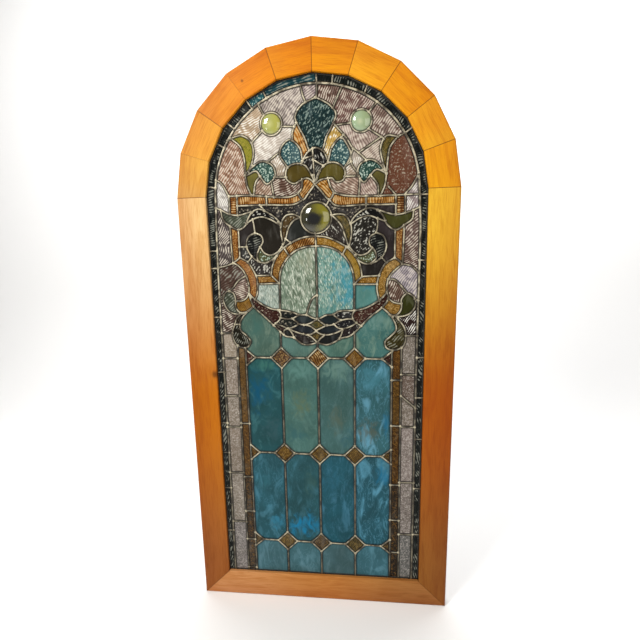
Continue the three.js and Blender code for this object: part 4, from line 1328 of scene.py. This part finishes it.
WOOD_TONE_AND_LIGHT = {  # colour at the start, middle and end of each block, going round from the bottom left; the pine's own tone with painted light in it, pale at the top of the left stile, bright round the arch and the top of the right stile, darker towards the bottom right
    "bottom_rail": [(230, 164, 104), (218, 146, 74), (180, 120, 62)],
    "stile_right": [(158, 98, 36), (184, 92, 4), (255, 200, 56)],
    "arch_block_1": [(255, 180, 20), (255, 178, 20), (255, 176, 22)],
    "arch_block_2": [(255, 184, 38), (255, 176, 32), (255, 178, 34)],
    "arch_block_3": [(250, 164, 16), (253, 170, 22), (253, 168, 24)],
    "arch_block_4": [(253, 172, 30), (255, 176, 34), (255, 176, 38)],
    "arch_block_5": [(244, 156, 20), (245, 158, 16), (247, 158, 16)],
    "arch_block_6": [(238, 144, 6), (244, 150, 8), (246, 156, 22)],
    "arch_block_7": [(240, 144, 10), (244, 148, 18), (242, 148, 26)],
    "arch_block_8": [(246, 156, 36), (242, 154, 34), (236, 150, 40)],
    "arch_block_9": [(242, 168, 52), (244, 170, 56), (242, 172, 62)],
    "arch_block_10": [(242, 180, 74), (238, 178, 80), (238, 184, 98)],
    "stile_left": [(252, 208, 142), (206, 118, 8), (170, 100, 40)],
}

# Pieces of glass by kind: name, a point inside, colour, and the direction of the relief unless it is 0.
PIECES = {
    "dashed": [
        ["lily", 7, 1540, (34, 58, 60), 62],
    ],
    "amber": [
        ["petal_left", -38, 1505, (190, 124, 52), 115], ["tail_left", -25, 1362, (178, 116, 42), 50],
        ["tail_right", 30, 1360, (182, 122, 46), 130], ["bar_left_outer", -190, 1335, (164, 106, 46), 92],
        ["bar_left_inner", -95, 1330, (172, 112, 48), 88],
        ["bar_right_inner", 100, 1324, (166, 112, 50), 92],
        ["bar_right_outer", 190, 1322, (174, 120, 54), 88], ["top_strip_left", -243, 1322, (150, 94, 40)],
        ["top_strip_right", 247, 1310, (112, 68, 26)], ["dome_band_left_top", -45, 1203, (142, 94, 42), 60],
        ["diamond_top_middle", 0.5, 852.5, (124, 84, 38), 115],
    ],
    "opal_plain": [
        ["petal_right", 56, 1505, (215, 178, 100), 70], ["field_white", -110, 1495, (226, 214, 202), 30],
        ["field_beige", -190, 1550, (200, 176, 148), 25],
        ["field_by_bud_left", -105, 1430, (198, 180, 160), 60],
        ["field_by_bud_right", 124, 1436, (192, 180, 166), 70],
        ["field_over_scroll_right", 105, 1408, (184, 166, 146), 30],
        ["field_sliver_right", 97, 1480, (170, 150, 141)], ["cloud_left", -278, 1340, (196, 190, 184), 60],
        ["cloud_right", 281, 1312, (168, 152, 152), 60],
        ["cloud_right_top", 285, 1352, (176, 162, 160), 60],
        ["mauve_foot_right", 285, 970, (50, 34, 30), 60],
    ],
    "seedy": [
        ["bud_left", -65, 1460, (68, 108, 116)], ["bud_right", 72, 1460, (74, 112, 118)],
        ["scroll_teal_left", -140, 1418, (66, 104, 96)], ["scroll_teal_right", 148, 1412, (56, 92, 84)],
        ["crescent_low_left", -150, 1163, (104, 108, 76)],
        ["crescent_low_right", 148, 1155, (112, 116, 84)],
    ],
    "opal": [
        ["cheek_left", -245, 1430, (176, 136, 112), 55], ["field_lilac", -90, 1600, (178, 166, 160), 50],
        ["field_lilac_tip", -10, 1620, (168, 152, 152), 40],
        ["field_mauve_top", 110, 1600, (132, 104, 96), 60],
        ["field_mauve_tip", 45, 1612, (122, 94, 84), 70],
        ["field_mauve_right", 205, 1545, (138, 114, 104), 55],
        ["field_mauve_low", 130, 1495, (182, 160, 150), 110],
        ["field_right_of_stem", 165, 1455, (186, 166, 152), 40],
        ["field_under_leaf_left", -150, 1368, (184, 154, 134), 40],
        ["field_under_leaf_right", 150, 1358, (184, 160, 148), 120],
        ["field_under_scroll_left", -85, 1368, (112, 86, 74), 25],
        ["field_under_scroll_right", 88, 1366, (168, 142, 126), 150],
        ["mauve_left", -278, 1220, (98, 88, 86), 60], ["mauve_right", 280, 1210, (118, 96, 88), 40],
        ["wing_light_left", -235, 1072, (130, 108, 98), 20],
        ["wing_light_right", 268, 1095, (182, 172, 182), 60],
        ["wing_brown_right", 238, 1058, (112, 88, 76), 70],
        ["mauve_foot_left", -278, 975, (96, 78, 70), 30],
    ],
    "speckled": [
        ["cheek_right", 250, 1420, (108, 68, 50), 80], ["fan_tip", -12, 1458, (34, 32, 30)],
        ["dark_corner_left", -200, 1309, (42, 40, 36)], ["dark_over_jewel", -80, 1305, (44, 42, 42), 20],
        ["dark_by_bar_right", 105, 1297, (52, 48, 46), 50],
        ["jewel_leaf_left", -88, 1265, (86, 68, 40), 60], ["ground_sliver_left", -92, 1202, (50, 48, 44)],
        ["comma_tip_left", -246, 977, (52, 46, 36)], ["swag_arm_left", -150, 998, (60, 32, 26), 60],
        ["swag_arm_right", 155, 995, (62, 34, 26), 60], ["swag_end_left", -112, 950, (58, 42, 38)],
        ["swag_leaf_1_left", -90, 993, (30, 34, 34)], ["swag_leaf_2_left", -88, 963, (32, 36, 34)],
        ["half_diamond_top_left", -215, 855, (70, 40, 34)],
        ["half_diamond_top_right", 217, 850, (54, 30, 22)],
    ],
    "amber_plain": [
        ["crescent_left", -193, 1470, (146, 144, 50), 100], ["crescent_right", 205, 1460, (88, 80, 40), 80],
        ["jewel_leaf_right", 92, 1250, (84, 76, 44), 60],
        ["dome_band_right_low", 112, 1135, (150, 118, 44)], ["amber_foot_left", -225, 1025, (132, 94, 40)],
        ["swag_diamond_top", -1, 958, (76, 74, 46)], ["swag_diamond_low", -2, 921, (70, 62, 38)],
        ["diamond_top_right", 114, 851.2, (104, 70, 24)],
        ["diamond_middle_left", -114, 531.3, (92, 64, 18)], ["diamond_middle", 0.5, 530, (86, 62, 20)],
        ["diamond_middle_right", 114, 528.7, (88, 66, 30)], ["diamond_low_left", -114, 209.8, (96, 80, 50)],
        ["diamond_low_middle", 0.5, 208.5, (70, 58, 46)], ["diamond_low_right", 114, 207.2, (72, 64, 40)],
        ["half_diamond_middle_left", -215, 532, (84, 58, 20)],
        ["half_diamond_middle_right", 217, 527, (70, 48, 16)],
        ["half_diamond_low_left", -215, 211, (92, 78, 56)],
        ["half_diamond_low_right", 217, 206, (66, 54, 38)],
    ],
    "plain": [
        ["leaf_left", -180, 1385, (122, 116, 60)], ["leaf_right", 190, 1370, (104, 96, 50)],
        ["scroll_olive_left", -45, 1408, (92, 78, 32)], ["scroll_olive_right", 50, 1410, (94, 84, 34)],
        ["dark_corner_right", 205, 1297, (50, 44, 44)], ["smile_right", 238, 1262, (76, 76, 36)],
        ["ground_left", -140, 1235, (44, 40, 34)], ["ground_edge_left", -208, 1238, (52, 47, 46)],
        ["ground_edge_right", 212, 1210, (54, 47, 48)], ["ground_by_jewel_left", -55, 1240, (46, 48, 46)],
        ["ground_low_right", 190, 1122, (42, 38, 36)], ["comma_high_right", 272, 1010, (52, 54, 18)],
        ["swag_leaf_3_left", -35, 974, (42, 50, 52)], ["swag_leaf_4_left", -45, 945, (34, 38, 42)],
        ["swag_leaf_6_left", -90, 936, (34, 36, 34)], ["swag_leaf_3_right", 40, 974, (36, 44, 46)],
        ["swag_leaf_4_right", 38, 941, (34, 40, 44)], ["swag_leaf_5_right", 38, 913, (30, 32, 32)],
    ],
    "sparkling": [
        ["fan_low_left", -15, 1425, (38, 34, 32), 70], ["fan_right", 22, 1448, (26, 24, 24), 110],
        ["neck_left", -158, 1294, (26, 26, 26), 20], ["neck_right", 155, 1290, (24, 24, 24), 160],
        ["ground_right", 138, 1222, (46, 44, 40), 50],
        ["ground_by_jewel_right", 60, 1225, (60, 54, 50), 120],
        ["ground_foot_left", -215, 1180, (60, 60, 58), 70],
        ["ground_low_left", -170, 1132, (52, 48, 46), 60], ["swag_end_right", 106, 942, (40, 34, 34), 40],
        ["swag_leaf_1_right", 85, 988, (30, 30, 32), 20], ["swag_leaf_2_right", 90, 963, (34, 34, 38), 160],
    ],
    "rippled": [
        ["fan_rib", 10, 1412, (52, 48, 44), 60], ["smile_left", -235, 1275, (84, 90, 76), 30],
        ["tadpole_left", -187, 1200, (26, 28, 28), 20], ["tadpole_right", 187, 1190, (26, 28, 28), 20],
        ["wing_dark_left", -262, 1110, (88, 68, 60), 40], ["comma_high_left", -272, 1035, (80, 86, 72), 45],
        ["comma_low_left", -238, 925, (34, 32, 22), 60], ["comma_low_right", 238, 905, (62, 56, 24), 40],
        ["swag_leaf_5_left", -45, 913, (46, 40, 38)],
    ],
    "amber_grain": [
        ["upper_strip_left", -243, 1210, (142, 88, 38)], ["upper_strip_right", 245, 1195, (132, 82, 34)],
        ["dome_band_left_low", -112, 1140, (136, 90, 36)],
        ["dome_band_right_top", 45, 1202, (150, 108, 34)], ["dome_ledge_left", -150, 1100, (140, 94, 34)],
        ["dome_ledge_right", 152, 1092, (138, 94, 26)], ["shoulder_left", -196, 1100, (146, 92, 46)],
        ["shoulder_right", 197, 1090, (146, 108, 46)], ["amber_foot_right", 228, 1010, (140, 102, 42)],
        ["diamond_top_left", -114, 853.8, (94, 68, 50)],
    ],
    "streaky": [
        ["dome_repair", -12, 1010, (124, 140, 122)],
    ],
}

# Sheets with clouds: name, a point inside, kind, colour, streak colour, and the clouds.
# A cloud is x, z, half its width, half its height and its colour.
PANES = [
    ["dome_left", -50, 1100, "streaky", (132, 150, 130), (172, 190, 170), [
        (-100, 1050, 34, 70, (102, 122, 104)), (-30, 1150, 40, 40, (156, 164, 140))]],
    ["dome_right", 57, 1100, "streaky", (124, 168, 158), (160, 192, 176), [
        (104, 1080, 70, 120, (62, 150, 168)), (40, 1005, 50, 22, (84, 138, 134))]],
    ["side_left", -145, 1050, "streaky", (166, 182, 172), (226, 232, 224), [
        (-165, 1020, 20, 24, (116, 142, 140))]],
    ["side_right", 148, 1045, "swirled", (94, 148, 144), (120, 160, 152), [
        (160, 1080, 30, 20, (66, 128, 138))]],
    ["pane_crown_a", -170, 915, "swirled", (84, 114, 104), (118, 142, 128), [
        (-190, 950, 30, 50, (68, 106, 98))]],
    ["pane_crown_b", -57, 884, "swirled", (92, 126, 118), (122, 150, 138), []],
    ["pane_crown_c", 57, 884, "swirled", (84, 122, 112), (116, 148, 134), []],
    ["pane_crown_d", 171, 915, "swirled", (72, 116, 112), (120, 150, 134), [
        (180, 970, 50, 40, (110, 146, 138))]],
    ["pane_upper_a", -170, 690, "mottled", (34, 82, 88), (60, 112, 118), [
        (-190, 740, 42, 80, (6, 82, 114)), (-165, 830, 50, 26, (62, 114, 106)),
        (-150, 620, 40, 46, (50, 86, 92))]],
    ["pane_upper_b", -57, 690, "swirled", (74, 114, 108), (94, 134, 128), [
        (-55, 700, 40, 50, (94, 114, 90)), (-57, 820, 60, 44, (96, 138, 130)),
        (-80, 600, 44, 40, (56, 100, 102))]],
    ["pane_upper_c", 57, 690, "swirled", (68, 106, 104), (90, 128, 130), [
        (60, 650, 30, 60, (84, 102, 90)), (57, 820, 60, 50, (104, 138, 128)),
        (100, 590, 34, 40, (52, 96, 104))]],
    ["pane_upper_d", 171, 690, "swirled", (56, 104, 112), (104, 164, 188), [
        (160, 610, 44, 44, (88, 96, 82)), (171, 790, 54, 50, (66, 124, 138)),
        (212, 640, 14, 60, (36, 110, 144))]],
    ["pane_lower_a", -170, 370, "swirled", (42, 92, 104), (74, 132, 152), [
        (-150, 280, 34, 30, (54, 132, 162)), (-185, 440, 30, 60, (48, 104, 116))]],
    ["pane_lower_b", -57, 370, "swirled", (42, 88, 96), (64, 118, 134), [
        (-62, 270, 50, 50, (22, 138, 188)), (-30, 430, 26, 50, (56, 94, 92))]],
    ["pane_lower_c", 57, 370, "swirled", (34, 88, 102), (66, 124, 148), [
        (40, 440, 44, 60, (42, 100, 120))]],
    ["pane_lower_d", 171, 370, "swirled", (40, 90, 104), (92, 158, 184), [
        (205, 460, 30, 44, (26, 112, 150))]],
    ["pane_bottom_a", -170, 130, "swirled", (72, 114, 124), (98, 140, 154), []],
    ["pane_bottom_b", -57, 130, "swirled", (72, 116, 126), (102, 146, 160), []],
    ["pane_bottom_c", 57, 130, "swirled", (72, 106, 112), (90, 122, 130), []],
    ["pane_bottom_d", 171, 130, "swirled", (62, 108, 120), (88, 138, 154), []],
]

# The strips beside the panes: name, x, kind, and a colour for each piece from the bottom up.
COLUMNS_OF_STRIPS = [
    ["strip_left", -278, [170, 350, 540, 668, 775, 880], "frosty", [
        (132, 126, 124), (148, 138, 126), (144, 130, 116),
        (146, 134, 120), (148, 134, 120), (174, 160, 142)]],
    ["strip_right", 281, [170, 350, 540, 668, 775, 880], "frosty", [
        (102, 102, 100), (130, 120, 114), (144, 132, 126),
        (130, 118, 106), (112, 95, 84), (126, 116, 105)]],
    ["amber_strip_left", -241, [90, 155, 262, 380, 538, 760], "amber_strip", [
        (52, 48, 44), (78, 70, 62), (62, 53, 44),
        (60, 50, 38), (88, 62, 30), (102, 76, 42)]],
    ["amber_strip_right", 242, [132, 245, 366, 530, 708, 834], "amber_strip", [
        (40, 34, 28), (46, 38, 28), (42, 33, 22),
        (72, 46, 10), (84, 58, 16), (86, 56, 20)]],
]


# The window.


def named_glass(panel):
    """Which piece each number is: number -> (name, glass)."""
    found = {}
    for kind, rows in PIECES.items():
        for name, x, z, colour, *angle in rows:
            found[panel.number_at(x, z)] = (name, KINDS[kind].tinted(colour, angle=sum(angle)))
    for name, x, z, kind, colour, light, clouds in PANES:
        found[panel.number_at(x, z)] = (name, KINDS[kind].tinted(colour, light, clouds=clouds))
    for name, x, levels, kind, colours in COLUMNS_OF_STRIPS:
        for i, (z, colour) in enumerate(zip(levels, colours)):
            found[panel.number_at(x, z)] = (f"{name}_{i + 1}", KINDS[kind].tinted(colour))
    return found


def border_glass(x, z):
    """The border's glass is blackish green, but teal near the top left."""
    angle = math.degrees(math.atan2(z - SPRING, x))
    if 116.4 < angle < 126:
        return KINDS["seedy"].tinted((48, 108, 118))
    if 88 < angle < 116.4:
        return KINDS["rippled"].tinted((32, 72, 80), angle=angle + 90)
    return KINDS["rippled"].tinted((22, 28, 26), angle=angle)


def make_glass(panel):
    """Every piece of glass but the jewels. Those that the CAD has too replace it."""
    found = named_glass(panel)
    jewels = [panel.number_at(x, z) for _, x, z, _ in RINGS]
    spare = 0
    for seed, number in enumerate(panel.order):
        if number in jewels:
            continue
        x, z = panel.centre(number)
        if number in found:
            name, kind = found[number]
        else:
            spare += 1
            outside = abs(x) > BORDER_FROM or math.hypot(x - ARC_X, max(0, z - ARC_Z)) > ARC_RADIUS
            kind = border_glass(x, z) if outside else KINDS["speckled"].tinted((60, 52, 46))
            name = f"border_glass_{spare}" if outside else f"small_glass_{spare}"
        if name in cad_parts:
            piece = glass_piece(name + "_glass", panel, number, kind, seed)
            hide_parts(name)
        else:
            glass_piece(name, panel, number, kind, seed)


def finish_wood():
    """The wooden blocks keep the CAD's shape and get their own grain."""
    arch = [f"arch_block_{i + 1}" for i in range(ARCH_BLOCKS)]
    for corner, name in enumerate(["bottom_rail", "stile_right", *arch, "stile_left"]):
        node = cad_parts[name]
        node.data.materials.clear()
        node.data.materials.append(wood_material(name, corner, WOOD_TONE_AND_LIGHT[name], corner + 1))


def studio():
    """A pale floor that curves up into a backdrop."""
    outline = [(-4.0, 0.0), (1.6, 0.0)]
    for i in range(1, 13):
        angle = math.pi / 2 * i / 12
        outline.append((1.6 + 0.9 * math.sin(angle), 0.9 - 0.9 * math.cos(angle)))
    outline.append((2.5, 6.0))
    points = [(x, y, z) for y, z in outline for x in (-6.0, 6.0)]
    faces = [[2 * i, 2 * i + 1, 2 * i + 3, 2 * i + 2] for i in range(len(outline) - 1)]
    mesh = bpy.data.meshes.new("studio_sweep")
    mesh.from_pydata(points, [], faces)
    mesh.polygons.foreach_set("use_smooth", [True] * len(faces))
    sweep = bpy.data.objects.new("studio_sweep", mesh)
    bpy.context.scene.collection.objects.link(sweep)
    s = Shader("studio_paper")
    s.set(Base_Color=(0.86, 0.86, 0.86, 1), Roughness=0.9)
    mesh.materials.append(s.material)


def area_light(name, place, target, size, power, colour):
    """A soft light that faces its target."""
    light = bpy.data.lights.new(name, "AREA")
    light.shape = "RECTANGLE"
    light.size, light.size_y = size
    light.energy = power
    light.color = colour
    lamp = bpy.data.objects.new(name, light)
    lamp.location = place
    lamp.rotation_euler = (Vector(target) - Vector(place)).to_track_quat("-Z", "Y").to_euler()
    bpy.context.scene.collection.objects.link(lamp)


def lights():
    """A key light from the upper left, a fill, a small light on the left and a wash over the backdrop."""
    middle = (0, 0, 0.95)
    area_light("key", (-1.5, -2.0, 2.6), middle, (0.9, 0.9), 90, (1.0, 0.97, 0.92))
    area_light("fill", (2.2, -2.4, 1.5), middle, (2.6, 2.2), 36, (1.0, 0.98, 0.95))
    area_light("left_window", (-1.3, -1.7, 1.15), middle, (0.16, 0.26), 2, (1.0, 1.0, 1.0))
    area_light("backdrop_wash", (0, 0.9, 3.2), (0, 2.4, 1.0), (4.0, 0.6), 90, (1, 1, 1))
    world = bpy.data.worlds.new("studio")
    world.use_nodes = True
    background = world.node_tree.nodes["Background"]
    background.inputs["Color"].default_value = (1.0, 0.99, 0.97, 1)
    background.inputs["Strength"].default_value = 0.35
    bpy.context.scene.world = world
    bpy.context.scene.view_settings.view_transform = "Standard"


def camera():
    """A wide lens a little above the middle, tipped down and rolled a little."""
    right = Vector((0.99229, 0.12045, -0.02926))
    up = Vector((0.00408, 0.20425, 0.97891))
    forward = Vector((-0.12389, 0.97148, -0.20218))
    turn = Matrix((right, up, -forward)).transposed().to_4x4()
    data = bpy.data.cameras.new("camera")
    data.sensor_width = 36
    data.lens = 27
    data.shift_x = 0.0413
    data.shift_y = 0.0252
    eye = bpy.data.objects.new("camera", data)
    eye.matrix_world = Matrix.Translation((0.1112, -1.455, 1.225)) @ turn
    bpy.context.scene.collection.objects.link(eye)
    bpy.context.scene.camera = eye


camera()
lights()
studio()
finish_wood()
window_panel = Panel()
came_lattice(window_panel)
putty_and_shade_strip()
for jewel_name, jewel_x, jewel_z, jewel_ring in RINGS:
    jewel(jewel_name, jewel_x, jewel_z, jewel_ring)
make_glass(window_panel)
